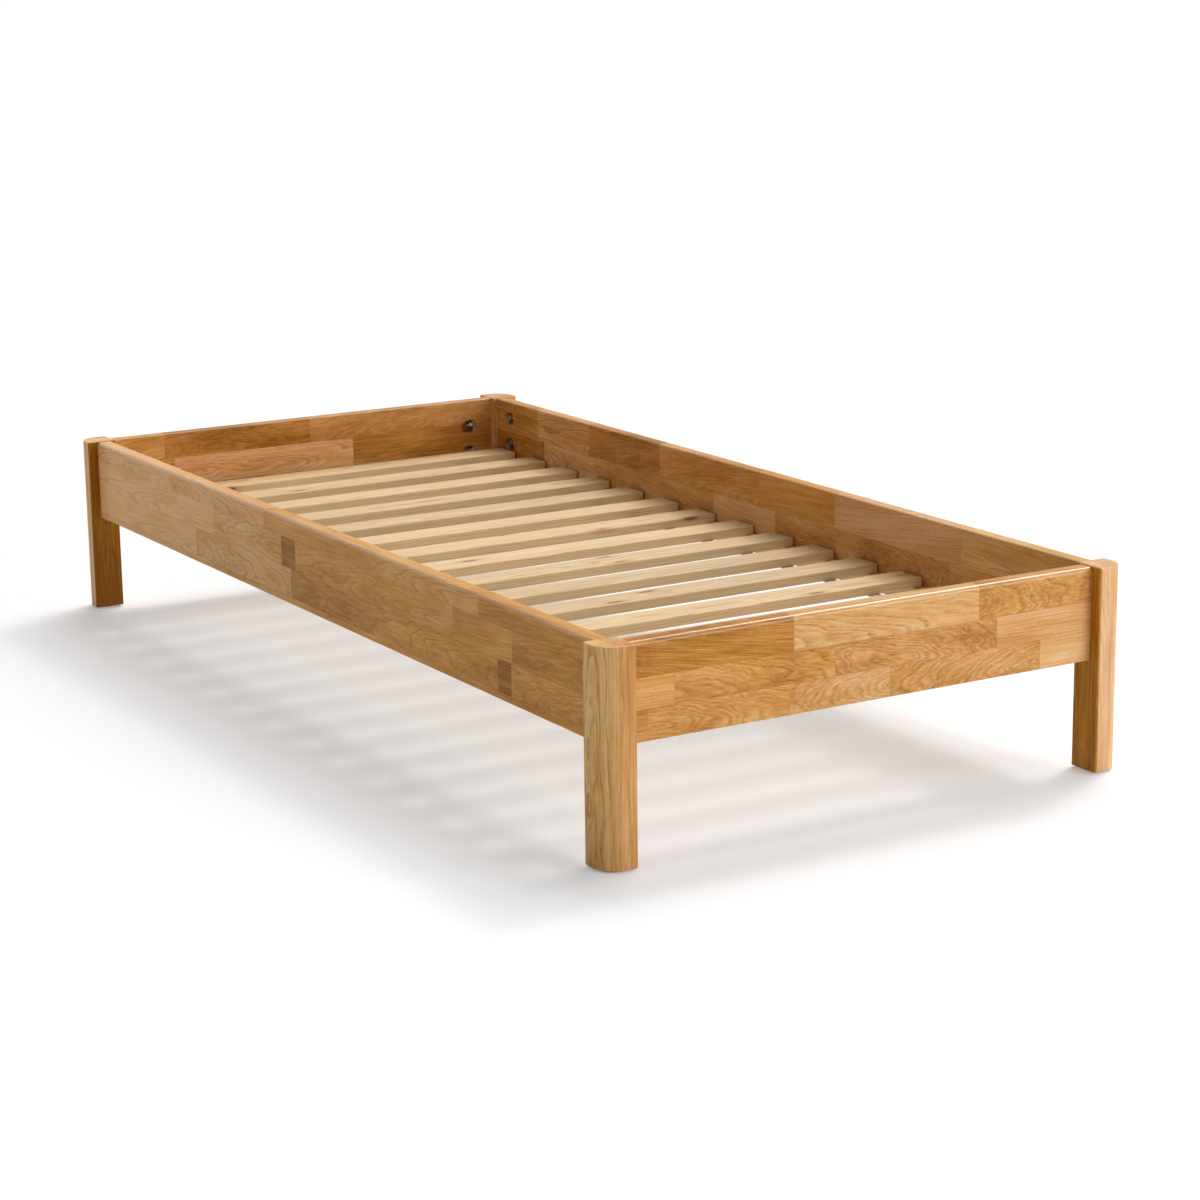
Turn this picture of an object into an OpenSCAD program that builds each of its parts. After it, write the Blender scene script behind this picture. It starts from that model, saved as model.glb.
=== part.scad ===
// Single bed frame in solid oak: four corner legs, four rails, two ledgers and a roll-up slatted base.
// Millimetres. The origin is on the floor under the middle of the bed.
// +X is the bed's right side seen from the foot end, +Y points to the head end, +Z is up.

/* [Mattress] */
// Width of the mattress that lies in the frame
mattress_w = 900; // [800:10:1000]
// Length of the mattress that lies in the frame
mattress_l = 2000; // [1900:10:2200]
// Free space between the mattress and each rail
mattress_gap = 10; // [6:1:20]

/* [Legs] */
// Height from the floor to the top of the legs
leg_top = 355; // [320:5:450]
// Width and depth of a leg
leg_size = 60; // [60:1:80]
// Radius of the leg's outer corner
leg_corner_r = 38; // [10:1:48]
// Radius of the leg's other three corners
leg_ease_r = 3; // [1:0.5:5]

/* [Rails] */
// Height of a rail
rail_h = 160; // [150:5:200]
// Thickness of a rail
rail_t = 30; // [28:1:34]
// How far a rail's outer face stands back from the legs' outer faces
rail_recess = 20; // [12:1:24]
// How far a rail's top lies below the legs' tops
rail_drop = 1; // [0:0.5:6]
// Radius of a rail's outer top edge
rail_edge_r = 8; // [3:0.5:10]
// Radius of a rail's other long edges
rail_ease_r = 3; // [1:0.5:4]

/* [Rail fittings] */
// Diameter of the threaded stud
stud_d = 8; // [6:1:10]
// Length of stud that is screwed into a leg
stud_grip = 22; // [18:1:24]
// Length of stud that stands proud of its nut
stud_tail = 4; // [2:1:5]
// Distance between the two studs of one rail end
stud_spacing = 58; // [54:1:64]
// Distance from a side rail's top to its upper stud
stud_edge = 38; // [30:1:42]
// How much lower the end rails' studs lie than the side rails' studs
stud_stagger = 20; // [16:1:24]
// Outer diameter of the threaded insert in a leg
insert_d = 12; // [11.5:0.5:14]
// Length of the threaded insert
insert_len = 25; // [24:1:28]
// Diameter of the round end of a fitting pocket
pocket_d = 28; // [26:1:30]
// Distance from a rail's end to the middle of the pocket's round end
pocket_set = 50; // [44:1:60]
// Length of flat between the two round ends of a pocket
pocket_run = 12; // [10:1:20]
// Thickness of a half-moon washer at its middle
washer_t = 8; // [6:0.5:9]
// Width of a half-moon washer across the pocket's depth
washer_w = 17; // [15:0.5:18]
// Distance across the flats of a nut
nut_af = 13; // [12:0.5:14]
// Thickness of a nut
nut_t = 6.5; // [5:0.5:7.5]
// Diameter of a dowel
dowel_d = 10; // [8:1:12]
// Depth of dowel in a leg
dowel_in_leg = 18; // [14:1:20]
// Depth of dowel in a rail
dowel_in_rail = 22; // [18:1:30]

/* [Ledgers] */
// Height of a ledger
ledger_h = 28; // [24:1:32]
// Thickness of a ledger
ledger_t = 24; // [20:1:30]
// Distance from a rail's bottom to the ledger's bottom
ledger_lift = 6; // [2:1:10]
// Gap between a ledger's end and the leg
ledger_end_gap = 5; // [2:1:15]
// Radius of a ledger's long edges
ledger_ease_r = 2; // [1:0.5:3]
// Number of screws in each ledger
ledger_screws_each = 7; // [5:1:9]
// Distance from a ledger's end to its first screw
ledger_screw_set = 95; // [80:5:150]
// Length of a ledger screw
ledger_screw_len = 45; // [40:1:48]
// Diameter of a ledger screw
ledger_screw_d = 4; // [3.5:0.5:5]
// Diameter of a ledger screw's head
ledger_screw_head_d = 8; // [7:0.5:9]

/* [Slatted base] */
// Width of a slat
slat_w = 68; // [50:1:80]
// Thickness of a slat
slat_t = 18; // [16:1:22]
// Gap between a slat's end and the side rail
slat_side_gap = 5; // [2:1:8]
// Gap between the legs and the first and last slat
slat_end_gap = 20; // [5:1:60]
// Radius of a slat's long edges
slat_ease_r = 3; // [1:0.5:5]
// Width of a webbing strap
webbing_w = 25; // [20:1:40]
// Thickness of a webbing strap
webbing_t = 1.6; // [1:0.1:2.5]
// Distance from a slat's end to the middle of the strap
webbing_set = 105; // [60:5:200]
// How far a strap's end stays back from the last slat's edge
webbing_end_set = 6; // [3:1:14]
// Width of a staple's crown
staple_w = 12; // [10:1:16]
// Thickness of the staple wire
staple_wire = 1.2; // [0.8:0.1:1.6]
// Length of a staple's legs
staple_leg = 14; // [10:1:15]
// Distance of each staple from the slat's middle line
staple_set = 14; // [8:1:18]

/* [Glides] */
// Thickness of a felt glide
glide_h = 3; // [2.5:0.5:5]
// Diameter of a felt glide
glide_d = 40; // [30:1:44]
// Diameter of the glide's nail
glide_nail_d = 2.2; // [1.8:0.2:3]
// Length of the nail's shank above its head
glide_nail_len = 18; // [12:1:24]
// Diameter of the nail's head
glide_nail_head_d = 7; // [6:0.5:9]
// Thickness of the nail's head
glide_nail_head_t = 1.2; // [0.8:0.1:1.5]

/* [Clearances] */
// Gap around a stud in its rail
stud_gap = 0.5; // [0.3:0.1:1]
// Gap around parts that are pressed, glued or screwed in
fit_gap = 0.1; // [0.05:0.05:0.2]
// Gap past the end of a part in a blind hole
end_gap = 1; // [0.5:0.5:2]
// Gap between a fitting and its pocket's floor
pocket_gap = 1; // [0.5:0.5:2]

/* [Hidden] */
$fn = 48;
// Past a face, so that a cut leaves no skin
cut_over = 1;

frame_w = mattress_w + 2 * (mattress_gap + rail_t + rail_recess);
frame_l = mattress_l + 2 * (mattress_gap + rail_t + rail_recess);
half_w = frame_w / 2;
half_l = frame_l / 2;
rail_top = leg_top - rail_drop;
rail_z = rail_top - rail_h;
side_rail_len = frame_l - 2 * leg_size;
end_rail_len = frame_w - 2 * leg_size;
// Inner face of the side rails, from the bed's middle
well_half_w = half_w - rail_recess - rail_t;

// Fittings: heights from the floor, for the side rails and then for the end rails
stud_high = rail_top - stud_edge;
stud_heights = [
    [stud_high - stud_spacing, stud_high],
    [stud_high - stud_spacing - stud_stagger, stud_high - stud_stagger]
];
dowel_heights = [stud_high - stud_spacing / 2, stud_high - stud_stagger - stud_spacing / 2];
insert_depth = max(insert_len, stud_grip) + end_gap;
wall_before_pocket = pocket_set - pocket_d / 2;
stud_len = stud_grip + wall_before_pocket + washer_t + nut_t + stud_tail;
nut_corner_d = nut_af / cos(30);
pocket_depth = rail_t / 2 + max(nut_corner_d, washer_w) / 2 + pocket_gap;

ledger_z = rail_z + ledger_lift;
ledger_top = ledger_z + ledger_h;
ledger_len = side_rail_len - 2 * ledger_end_gap;
ledger_screw_pitch = (ledger_len - 2 * ledger_screw_set) / (ledger_screws_each - 1);
screw_head_h = (ledger_screw_head_d - ledger_screw_d) / 2;

slat_count = 15;
slat_len = 2 * (well_half_w - slat_side_gap);
slat_first = -(half_l - leg_size - slat_end_gap - slat_w / 2);
slat_pitch = -2 * slat_first / (slat_count - 1);
webbing_len = 2 * (-slat_first + slat_w / 2 - webbing_end_set);
webbing_x = slat_len / 2 - webbing_set;
webbing_z = ledger_top - webbing_t;
staple_slot = staple_wire + 2 * fit_gap;

oak = [0.80, 0.58, 0.34];
oak_dark = [0.74, 0.52, 0.30];
pine = [0.90, 0.78, 0.58];
beech = [0.84, 0.68, 0.48];
zinc = [0.78, 0.78, 0.76];
yellow_zinc = [0.80, 0.70, 0.42];
cotton = [0.90, 0.88, 0.82];
felt = [0.36, 0.27, 0.20];

// ---------- Frames of reference ----------

// Puts its child at a leg's outer corner: x runs inwards from the side face, y from the end face
module at_corner(side, end) {
    translate([side * half_w, end * half_l, 0])
        mirror([side > 0 ? 1 : 0, 0, 0])
            mirror([0, end > 0 ? 1 : 0, 0])
                children();
}

// Puts its child where a rail meets a leg: x runs along the rail, y in from the rail's outer face.
// A side rail has kind 0 and an end rail kind 1.
module at_joint(side, end, kind) {
    $stud_z = stud_heights[kind];
    $dowel_z = dowel_heights[kind];
    at_corner(side, end)
        mirror(kind == 0 ? [1, -1, 0] : [0, 0, 0])
            translate([leg_size, rail_recess, 0])
                children();
}

module at_joints() {
    for (side = [-1, 1], end = [-1, 1], kind = [0, 1])
        at_joint(side, end, kind) children();
}

// A round bar along +X from start, in the middle of the rail's thickness
module bar(start, length, d, z) {
    translate([start, rail_t / 2, z]) rotate([0, 90, 0]) cylinder(d = d, h = length);
}

// What a rounding of radius r takes off a square corner at the origin
module corner_waste(r) {
    difference() {
        translate([-cut_over, -cut_over]) square(r + cut_over);
        translate([r, r]) circle(r);
    }
}

// A rectangle from the origin with the radii of its corners, anticlockwise from the origin
module eased_rectangle(w, h, radii) {
    difference() {
        square([w, h]);
        corner_waste(radii[0]);
        translate([w, 0]) mirror([1, 0]) corner_waste(radii[1]);
        translate([w, h]) rotate(180) corner_waste(radii[2]);
        translate([0, h]) mirror([0, 1]) corner_waste(radii[3]);
    }
}

// ---------- Legs ----------

// The holes in a leg for the fittings of one rail, seen from that rail's joint
module leg_fitting_holes() {
    for (z = $stud_z)
        bar(-insert_depth, insert_depth + cut_over, insert_d + 2 * fit_gap, z);
    bar(
        -dowel_in_leg - end_gap, dowel_in_leg + end_gap + cut_over,
        dowel_d + 2 * fit_gap, $dowel_z
    );
}

module leg(side, end) {
    nail_hole = glide_nail_len - (glide_h - glide_nail_z()) + end_gap;
    color(oak) difference() {
        at_corner(side, end)
            translate([0, 0, glide_h]) linear_extrude(leg_top - glide_h)
                eased_rectangle(
                    leg_size, leg_size, [leg_corner_r, leg_ease_r, leg_ease_r, leg_ease_r]
                );
        for (kind = [0, 1])
            at_joint(side, end, kind) leg_fitting_holes();
        at_corner(side, end)
            translate([leg_size / 2, leg_size / 2, glide_h - cut_over])
                cylinder(d = glide_nail_d + 2 * fit_gap, h = nail_hole + cut_over);
    }
}

// ---------- Rails ----------

// A rail without holes, along Y, with its outer face on x = 0 and its bottom on z = 0
module rail_blank(length) {
    rotate([90, 0, 0]) linear_extrude(length, center = true)
        eased_rectangle(
            rail_t, rail_h, [rail_ease_r, rail_ease_r, rail_ease_r, rail_edge_r]
        );
}

// The stud's hole, the open pocket for washer and nut, and the dowel's hole at one rail end
module rail_fitting_holes() {
    for (z = $stud_z) {
        bar(-cut_over, pocket_set + cut_over, stud_d + 2 * stud_gap, z);
        translate([pocket_set, rail_t + cut_over, z]) rotate([90, 0, 0])
            linear_extrude(pocket_depth + cut_over) {
                circle(d = pocket_d);
                translate([0, -pocket_d / 2]) square([pocket_run, pocket_d]);
                translate([pocket_run, 0]) circle(d = pocket_d);
            }
    }
    bar(
        -cut_over, dowel_in_rail + end_gap + cut_over,
        dowel_d + 2 * fit_gap, $dowel_z
    );
}

module side_rail(side) {
    color(oak) difference() {
        translate([side * (half_w - rail_recess), 0, rail_z])
            mirror([side > 0 ? 1 : 0, 0, 0]) rail_blank(side_rail_len);
        for (end = [-1, 1])
            at_joint(side, end, 0) rail_fitting_holes();
        at_ledger_screws(side)
            cylinder(d = ledger_screw_d + 2 * fit_gap, h = ledger_screw_len + end_gap);
    }
}

module end_rail(end) {
    color(oak) difference() {
        translate([0, end * (half_l - rail_recess), rail_z])
            mirror([0, end > 0 ? 1 : 0, 0])
                mirror([1, -1, 0]) rail_blank(end_rail_len);
        for (side = [-1, 1])
            at_joint(side, end, 1) rail_fitting_holes();
    }
}

// ---------- Rail fittings ----------

module rail_studs() {
    color(zinc) at_joints() for (z = $stud_z)
        bar(-stud_grip, stud_len, stud_d, z);
}

module leg_inserts() {
    color(yellow_zinc) at_joints() for (z = $stud_z)
        difference() {
            bar(-insert_len, insert_len, insert_d, z);
            bar(-insert_len - cut_over, insert_len + 2 * cut_over, stud_d + 2 * fit_gap, z);
        }
}

// A washer with a round back that fits the pocket's end and a flat front for the nut
module half_moon_washers() {
    washer_r = pocket_d / 2 - fit_gap;
    color(zinc) at_joints() for (z = $stud_z)
        difference() {
            translate([pocket_set, rail_t / 2 + washer_w / 2, z]) rotate([90, 0, 0])
                linear_extrude(washer_w) intersection() {
                    circle(washer_r);
                    translate([-pocket_d / 2, -pocket_d / 2]) square([washer_t, pocket_d]);
                }
            bar(0, pocket_set, stud_d + 2 * stud_gap, z);
        }
}

module stud_nuts() {
    nut_start = wall_before_pocket + washer_t;
    color(zinc) at_joints() for (z = $stud_z)
        difference() {
            translate([nut_start, rail_t / 2, z]) rotate([0, 90, 0])
                cylinder(d = nut_corner_d, h = nut_t, $fn = 6);
            bar(nut_start - cut_over, nut_t + 2 * cut_over, stud_d + 2 * fit_gap, z);
        }
}

module rail_dowels() {
    color(beech) at_joints()
        bar(-dowel_in_leg, dowel_in_leg + dowel_in_rail, dowel_d, $dowel_z);
}

// ---------- Ledgers ----------

// Puts its child at each screw's head on a ledger's inner face, with z into the wood
module at_ledger_screws(side) {
    for (i = [0 : ledger_screws_each - 1])
        translate([
            side * (well_half_w - ledger_t),
            -ledger_len / 2 + ledger_screw_set + i * ledger_screw_pitch,
            ledger_z + ledger_h / 2
        ])
            rotate([0, side * 90, 0]) children();
}

// A countersunk screw from its head's flat face on z = 0, with extra room all round
module screw_shape(room, over) {
    translate([0, 0, -over])
        cylinder(d = ledger_screw_head_d + 2 * room, h = over + room);
    translate([0, 0, room])
        cylinder(d1 = ledger_screw_head_d + 2 * room, d2 = ledger_screw_d + 2 * room, h = screw_head_h);
    translate([0, 0, room])
        cylinder(d = ledger_screw_d + 2 * room, h = ledger_screw_len - room);
}

module ledger(side) {
    color(pine) difference() {
        translate([side * (well_half_w - ledger_t), 0, ledger_z])
            mirror([side < 0 ? 1 : 0, 0, 0])
                rotate([90, 0, 0]) linear_extrude(ledger_len, center = true)
                    eased_rectangle(
                        ledger_t, ledger_h,
                        [ledger_ease_r, ledger_ease_r, ledger_ease_r, ledger_ease_r]
                    );
        at_ledger_screws(side) screw_shape(fit_gap, cut_over);
    }
}

module ledger_screws() {
    color(yellow_zinc) for (side = [-1, 1])
        at_ledger_screws(side) screw_shape(0, 0);
}

// ---------- Slatted base: slats stapled to two straps that run underneath ----------

function slat_y(i) = slat_first + (i - 1) * slat_pitch;

// Puts its child on the floor under the middle of each staple of slat i
module at_slat_staples(i) {
    for (side = [-1, 1], row = [-1, 1])
        translate([side * webbing_x, slat_y(i) + row * staple_set, 0]) children();
}

// The two slots that a staple's legs go through, from depth below z = 0 up to height above it
module staple_slots(depth, height) {
    for (leg_side = [-1, 1])
        translate([
            leg_side * (staple_w - staple_wire) / 2 - staple_slot / 2,
            -staple_slot / 2,
            -depth
        ])
            cube([staple_slot, staple_slot, depth + height]);
}

module slat(i) {
    color(pine) difference() {
        translate([-slat_len / 2, slat_y(i) - slat_w / 2, ledger_top])
            rotate([90, 0, 90]) linear_extrude(slat_len)
                eased_rectangle(
                    slat_w, slat_t, [slat_ease_r, slat_ease_r, slat_ease_r, slat_ease_r]
                );
        at_slat_staples(i) translate([0, 0, ledger_top])
            staple_slots(cut_over, staple_leg - webbing_t + end_gap);
    }
}

module webbing(side) {
    color(cotton) difference() {
        translate([side * webbing_x - webbing_w / 2, -webbing_len / 2, webbing_z])
            cube([webbing_w, webbing_len, webbing_t]);
        for (i = [1 : slat_count], row = [-1, 1])
            translate([side * webbing_x, slat_y(i) + row * staple_set, webbing_z])
                staple_slots(cut_over, webbing_t + cut_over);
    }
}

// One staple with its legs up and the top of its crown on z = 0
module staple() {
    translate([-staple_w / 2, -staple_wire / 2, -staple_wire])
        cube([staple_w, staple_wire, staple_wire]);
    for (leg_side = [-1, 1])
        translate([
            leg_side * (staple_w - staple_wire) / 2 - staple_wire / 2,
            -staple_wire / 2,
            -staple_wire
        ])
            cube([staple_wire, staple_wire, staple_leg + staple_wire]);
}

module webbing_staples() {
    color(zinc) for (i = [1 : slat_count])
        at_slat_staples(i) translate([0, 0, webbing_z]) staple();
}

// ---------- Glides ----------

// Height of the top of the nail's head, on which the felt rests
function glide_nail_z() = glide_h * 2 / 3;

module glide(side, end) {
    color(felt) at_corner(side, end) translate([leg_size / 2, leg_size / 2, 0])
        difference() {
            cylinder(d = glide_d, h = glide_h);
            translate([0, 0, -cut_over])
                cylinder(d = glide_nail_d + 2 * fit_gap, h = glide_h + 2 * cut_over);
            translate([0, 0, -cut_over])
                cylinder(d = glide_nail_head_d + 2 * fit_gap, h = glide_nail_z() + cut_over);
        }
}

module glide_nails() {
    color(zinc) for (side = [-1, 1], end = [-1, 1])
        at_corner(side, end) translate([leg_size / 2, leg_size / 2, glide_nail_z()]) {
            translate([0, 0, -glide_nail_head_t])
                cylinder(d = glide_nail_head_d, h = glide_nail_head_t);
            cylinder(d = glide_nail_d, h = glide_nail_len);
        }
}

// ---------- The bed ----------

leg(-1, -1);  // leg_foot_left
leg(1, -1);  // leg_foot_right
leg(-1, 1);  // leg_head_left
leg(1, 1);  // leg_head_right
side_rail(-1);  // side_rail_left
side_rail(1);  // side_rail_right
end_rail(-1);  // foot_rail
end_rail(1);  // head_rail
ledger(-1);  // ledger_left
ledger(1);  // ledger_right
slat(1);  // slat_01
slat(2);  // slat_02
slat(3);  // slat_03
slat(4);  // slat_04
slat(5);  // slat_05
slat(6);  // slat_06
slat(7);  // slat_07
slat(8);  // slat_08
slat(9);  // slat_09
slat(10);  // slat_10
slat(11);  // slat_11
slat(12);  // slat_12
slat(13);  // slat_13
slat(14);  // slat_14
slat(15);  // slat_15
webbing(-1);  // webbing_left
webbing(1);  // webbing_right
webbing_staples();
glide(-1, -1);  // glide_foot_left
glide(1, -1);  // glide_foot_right
glide(-1, 1);  // glide_head_left
glide(1, 1);  // glide_head_right
glide_nails();
leg_inserts();
rail_studs();
half_moon_washers();
stud_nuts();
rail_dowels();
ledger_screws();
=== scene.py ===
"""Single bed frame in oiled oak: the finish and fine shape of every piece, around the packed frame.

Each operator makes one piece or one group of like pieces, and one sets the stage.
Lengths are in metres. +X is the bed's right side seen from the foot end, +Y its head end, +Z up.
"""

import math
import random
from collections import namedtuple
from itertools import pairwise

import bmesh
import bpy
from mathutils import Matrix, Vector


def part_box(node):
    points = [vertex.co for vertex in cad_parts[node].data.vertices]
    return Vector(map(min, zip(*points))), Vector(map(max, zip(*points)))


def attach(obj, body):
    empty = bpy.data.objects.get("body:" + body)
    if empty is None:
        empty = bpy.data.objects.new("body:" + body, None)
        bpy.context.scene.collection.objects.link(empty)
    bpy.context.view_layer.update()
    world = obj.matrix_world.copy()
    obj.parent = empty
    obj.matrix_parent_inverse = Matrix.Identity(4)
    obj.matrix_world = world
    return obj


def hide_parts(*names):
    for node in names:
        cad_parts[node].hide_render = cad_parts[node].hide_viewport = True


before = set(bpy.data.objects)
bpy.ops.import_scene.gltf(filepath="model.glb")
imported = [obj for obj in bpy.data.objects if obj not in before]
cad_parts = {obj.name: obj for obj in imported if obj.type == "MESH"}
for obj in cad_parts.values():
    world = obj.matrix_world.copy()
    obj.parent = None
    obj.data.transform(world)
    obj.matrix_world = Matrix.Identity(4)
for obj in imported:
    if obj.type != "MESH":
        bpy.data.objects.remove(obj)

bl_info = {
    "name": "Oak Bed Frame",
    "version": (1, 0, 0),
    "blender": (4, 5, 0),
    "location": "3D View > Sidebar > Bed Frame",
    "description": "Builds the visible pieces of a single bed frame in oiled oak",
    "category": "Object",
}

FRAME_BODY = "bed_frame"
BASE_BODY = "slatted_base"
X, Y, Z = 0, 1, 2
MM = 0.001


def linear(code):
    """A colour written as six hexadecimal digits, as scene-linear red, green and blue."""
    channels = [int(code[i : i + 2], 16) / 255 for i in (0, 2, 4)]
    return tuple(c / 12.92 if c <= 0.04045 else ((c + 0.055) / 1.055) ** 2.4 for c in channels)


def opaque(colour):
    """A colour with full alpha."""
    return (*colour[:3], 1.0)


# ---------- Settings ----------


def length(name, description, default, low=0.0, high=10.0):
    """A length property in metres."""
    return bpy.props.FloatProperty(
        name=name, description=description, default=default,
        min=low, max=high, precision=5, unit="LENGTH",
    )


def colour(name, description, code):
    """A colour property with its default written as six hexadecimal digits."""
    return bpy.props.FloatVectorProperty(
        name=name, description=description, default=linear(code),
        size=3, min=0.0, max=1.0, subtype="COLOR",
    )


def share(name, description, default, high=1.0):
    """A plain number from 0."""
    return bpy.props.FloatProperty(
        name=name, description=description, default=default, min=0.0, max=high, subtype="FACTOR"
    )


def angle(name, description, degrees):
    """An angle property with its default in degrees."""
    return bpy.props.FloatProperty(
        name=name, description=description, default=math.radians(degrees), unit="ROTATION"
    )


class BedOakSettings(bpy.types.PropertyGroup):
    """Finish of the legs and rails."""

    dark: colour("Dark Oak", "Colour of the darkest staves", "9c661f")
    golden: colour("Golden Oak", "Colour of the middling staves", "dca35a")
    pale: colour("Pale Oak", "Colour of the lightest staves", "f2cb92")
    ring_line: colour("Ring Line", "Colour of the porous early wood", "9c5f20")
    ring_spacing: length("Ring Spacing", "Width of a year ring", 4.0 * MM)
    line_strength: share("Line Strength", "How strongly the ring lines show", 0.85)
    roughness: share("Roughness", "Roughness of the oiled face", 0.38)
    gloss: share("Gloss", "How strongly the wood itself mirrors light", 0.0)
    film: share("Oil Film", "How strongly the film of oil mirrors light", 0.22)
    arris_polish: share("Arris Polish", "How strongly the rounded top edges mirror light", 0.9)
    film_roughness: share("Film Roughness", "Roughness of the film of oil", 0.16)
    leg_arris: length("Leg Arris", "Rounding of the legs' top and bottom edges", 1.6 * MM)
    rail_arris: length("Rail Arris", "Rounding of the rails' sawn ends and pockets", 0.6 * MM)


class BedBaseSettings(bpy.types.PropertyGroup):
    """Finish of the ledgers and the slatted base."""

    pine: colour("Pine", "Colour of planed pine", "e3c594")
    pine_line: colour("Pine Line", "Colour of the late wood lines", "b98146")
    knot: colour("Knot", "Colour of a knot", "6d3c1b")
    ring_spacing: length("Ring Spacing", "Width of a year ring", 3.4 * MM)
    slat_edge: length("Slat Edge", "Rounding of a slat's long edges", 3 * MM)
    slat_arris: length("Slat Arris", "Rounding of a slat's sawn ends", 0.7 * MM)
    ledger_arris: length("Ledger Arris", "Rounding of a ledger's sawn ends", 0.8 * MM)
    slat_play: length("Slat Play", "How far a slat may lie off its line", 0.8 * MM)
    webbing: colour("Webbing", "Colour of the cotton webbing", "e6e1d3")
    rib_pitch: length("Rib Pitch", "Distance between two ribs of the weave", 2.4 * MM, 0.5 * MM)
    rib_height: length("Rib Height", "Height of the ribs of the weave", 0.12 * MM)


class BedFittingSettings(bpy.types.PropertyGroup):
    """Finish and fine shape of the fittings."""

    zinc: colour("Bright Zinc", "Colour of bright zinc plate", "b9bcbd")
    yellow_zinc: colour("Yellow Zinc", "Colour of yellow zinc plate", "c9a452")
    beech: colour("Beech", "Colour of the dowels", "d6ac7b")
    felt: colour("Felt", "Colour of the glides", "4b382b")
    stud_pitch: length("Stud Pitch", "Distance between two turns of a stud's thread", 1.25 * MM)
    insert_pitch: length("Insert Pitch", "Distance between two turns of an insert's thread", 3 * MM)
    screw_pitch: length("Screw Pitch", "Distance between two turns of a screw's thread", 1.8 * MM)
    washer_arris: length("Washer Arris", "Rounding of a washer's edges", 0.4 * MM)
    glide_arris: length("Glide Arris", "Rounding of a felt glide's rim", 0.6 * MM)


class BedStageSettings(bpy.types.PropertyGroup):
    """Camera, light and floor."""

    azimuth: angle("Azimuth", "Direction of view about the vertical", -30.98)
    elevation: angle("Elevation", "Height of the view above the horizon", 13.53)
    roll: angle("Roll", "Turn of the camera about its line of sight", -0.71)
    place: bpy.props.FloatVectorProperty(
        name="Camera Place", description="Where the camera stands",
        default=(-2.663, -4.641, 1.437), size=3, unit="LENGTH", subtype="TRANSLATION",
    )
    lens: bpy.props.FloatProperty(
        name="Lens", description="Focal length on a 36 mm sensor",
        default=87.2, min=1.0, unit="CAMERA",
    )
    floor: colour("Floor", "Colour of the floor", "e5e6e9")
    floor_size: length("Floor Size", "Width of the floor", 400.0, 1.0, 1000.0)
    floor_glow: share("Floor Glow", "How much white the camera sees on the lit floor", 0.25)
    key: share("Key", "Strength of the light from high behind the bed's right side", 2.5, 10.0)
    softbox: bpy.props.FloatProperty(
        name="Softbox", description="Power of the light in front of the foot end",
        default=205.0, min=0.0, unit="POWER",
    )
    sky: share("Sky", "Strength of the even light from all round", 0.29, 10.0)


SETTINGS = {
    "bed_oak": BedOakSettings,
    "bed_base": BedBaseSettings,
    "bed_fittings": BedFittingSettings,
    "bed_stage": BedStageSettings,
}


# ---------- Node trees ----------

FLOAT, VECTOR, INTEGER = "NodeSocketFloat", "NodeSocketVector", "NodeSocketInt"
GEOMETRY, MATERIAL, OBJECT = "NodeSocketGeometry", "NodeSocketMaterial", "NodeSocketObject"


class Value:
    """A node's output. Sums with it make Math nodes, or Vector Math nodes where it is a vector."""

    def __init__(self, socket):
        self.socket = socket
        self.tree = socket.id_data

    def __add__(self, other):
        return calc("ADD", self, other)

    def __sub__(self, other):
        return calc("SUBTRACT", self, other)

    def __mul__(self, other):
        return calc("MULTIPLY", self, other)

    def __truediv__(self, other):
        return calc("DIVIDE", self, other)


def plug(made, inputs):
    """Sets a node's inputs, each to a plain value or to another node's output."""
    for key, value in inputs.items():
        socket = made.inputs[key]
        if isinstance(value, Value):
            made.id_data.links.new(value.socket, socket)
        elif socket.type == "RGBA":
            socket.default_value = opaque(value)
        elif socket.type == "VECTOR" and isinstance(value, float):
            socket.default_value = (value, value, value)
        else:
            socket.default_value = value


def node(tree, kind, inputs=None, output=0, **settings):
    """One output of a new node."""
    made = tree.nodes.new(kind)
    for name, value in settings.items():
        setattr(made, name, value)
    plug(made, inputs or {})
    return Value(made.outputs[output])


def calc(operation, *values):
    """The result of a Math node, or of a Vector Math node if the first value is a vector."""
    kind = "VectorMath" if values[0].socket.type in ("VECTOR", "RGBA") else "Math"
    output = "Value" if operation == "LENGTH" else 0
    inputs = dict(enumerate(values))
    return node(values[0].tree, "ShaderNode" + kind, inputs, output, operation=operation)


def clamped(value):
    """A Math node's result kept between 0 and 1."""
    value.socket.node.use_clamp = True
    return value


def split(value):
    """The three parts of a vector."""
    made = value.tree.nodes.new("ShaderNodeSeparateXYZ")
    plug(made, {0: value})
    return [Value(socket) for socket in made.outputs]


def join(tree, x=0.0, y=0.0, z=0.0):
    """A vector made of three numbers."""
    return node(tree, "ShaderNodeCombineXYZ", {0: x, 1: y, 2: z})


def blend(factor, a, b):
    """One colour mixed with another by a factor."""
    sockets = {0: factor, 6: a, 7: b}
    return node(factor.tree, "ShaderNodeMix", sockets, 2, data_type="RGBA", clamp_factor=True)


def shaded(colour, tone):
    """A plain colour made lighter or darker by a tone that changes over the surface."""
    inputs = {0: tuple(colour), 1: tone}
    return node(tone.tree, "ShaderNodeVectorMath", inputs, operation="MULTIPLY")


def noise(position, stretch, detail=2.0, roughness=0.5, output=0):
    """Noise on a position that is first stretched along its three axes."""
    inputs = {
        "Vector": position * stretch, "Scale": 1.0, "Detail": detail, "Roughness": roughness,
    }
    return node(position.tree, "ShaderNodeTexNoise", inputs, output)


def steps(value, low, high, to_low=0.0, to_high=1.0):
    """A value brought smoothly from one range to another."""
    inputs = {0: value, 1: low, 2: high, 3: to_low, 4: to_high}
    return node(value.tree, "ShaderNodeMapRange", inputs, interpolation_type="SMOOTHSTEP")


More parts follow.
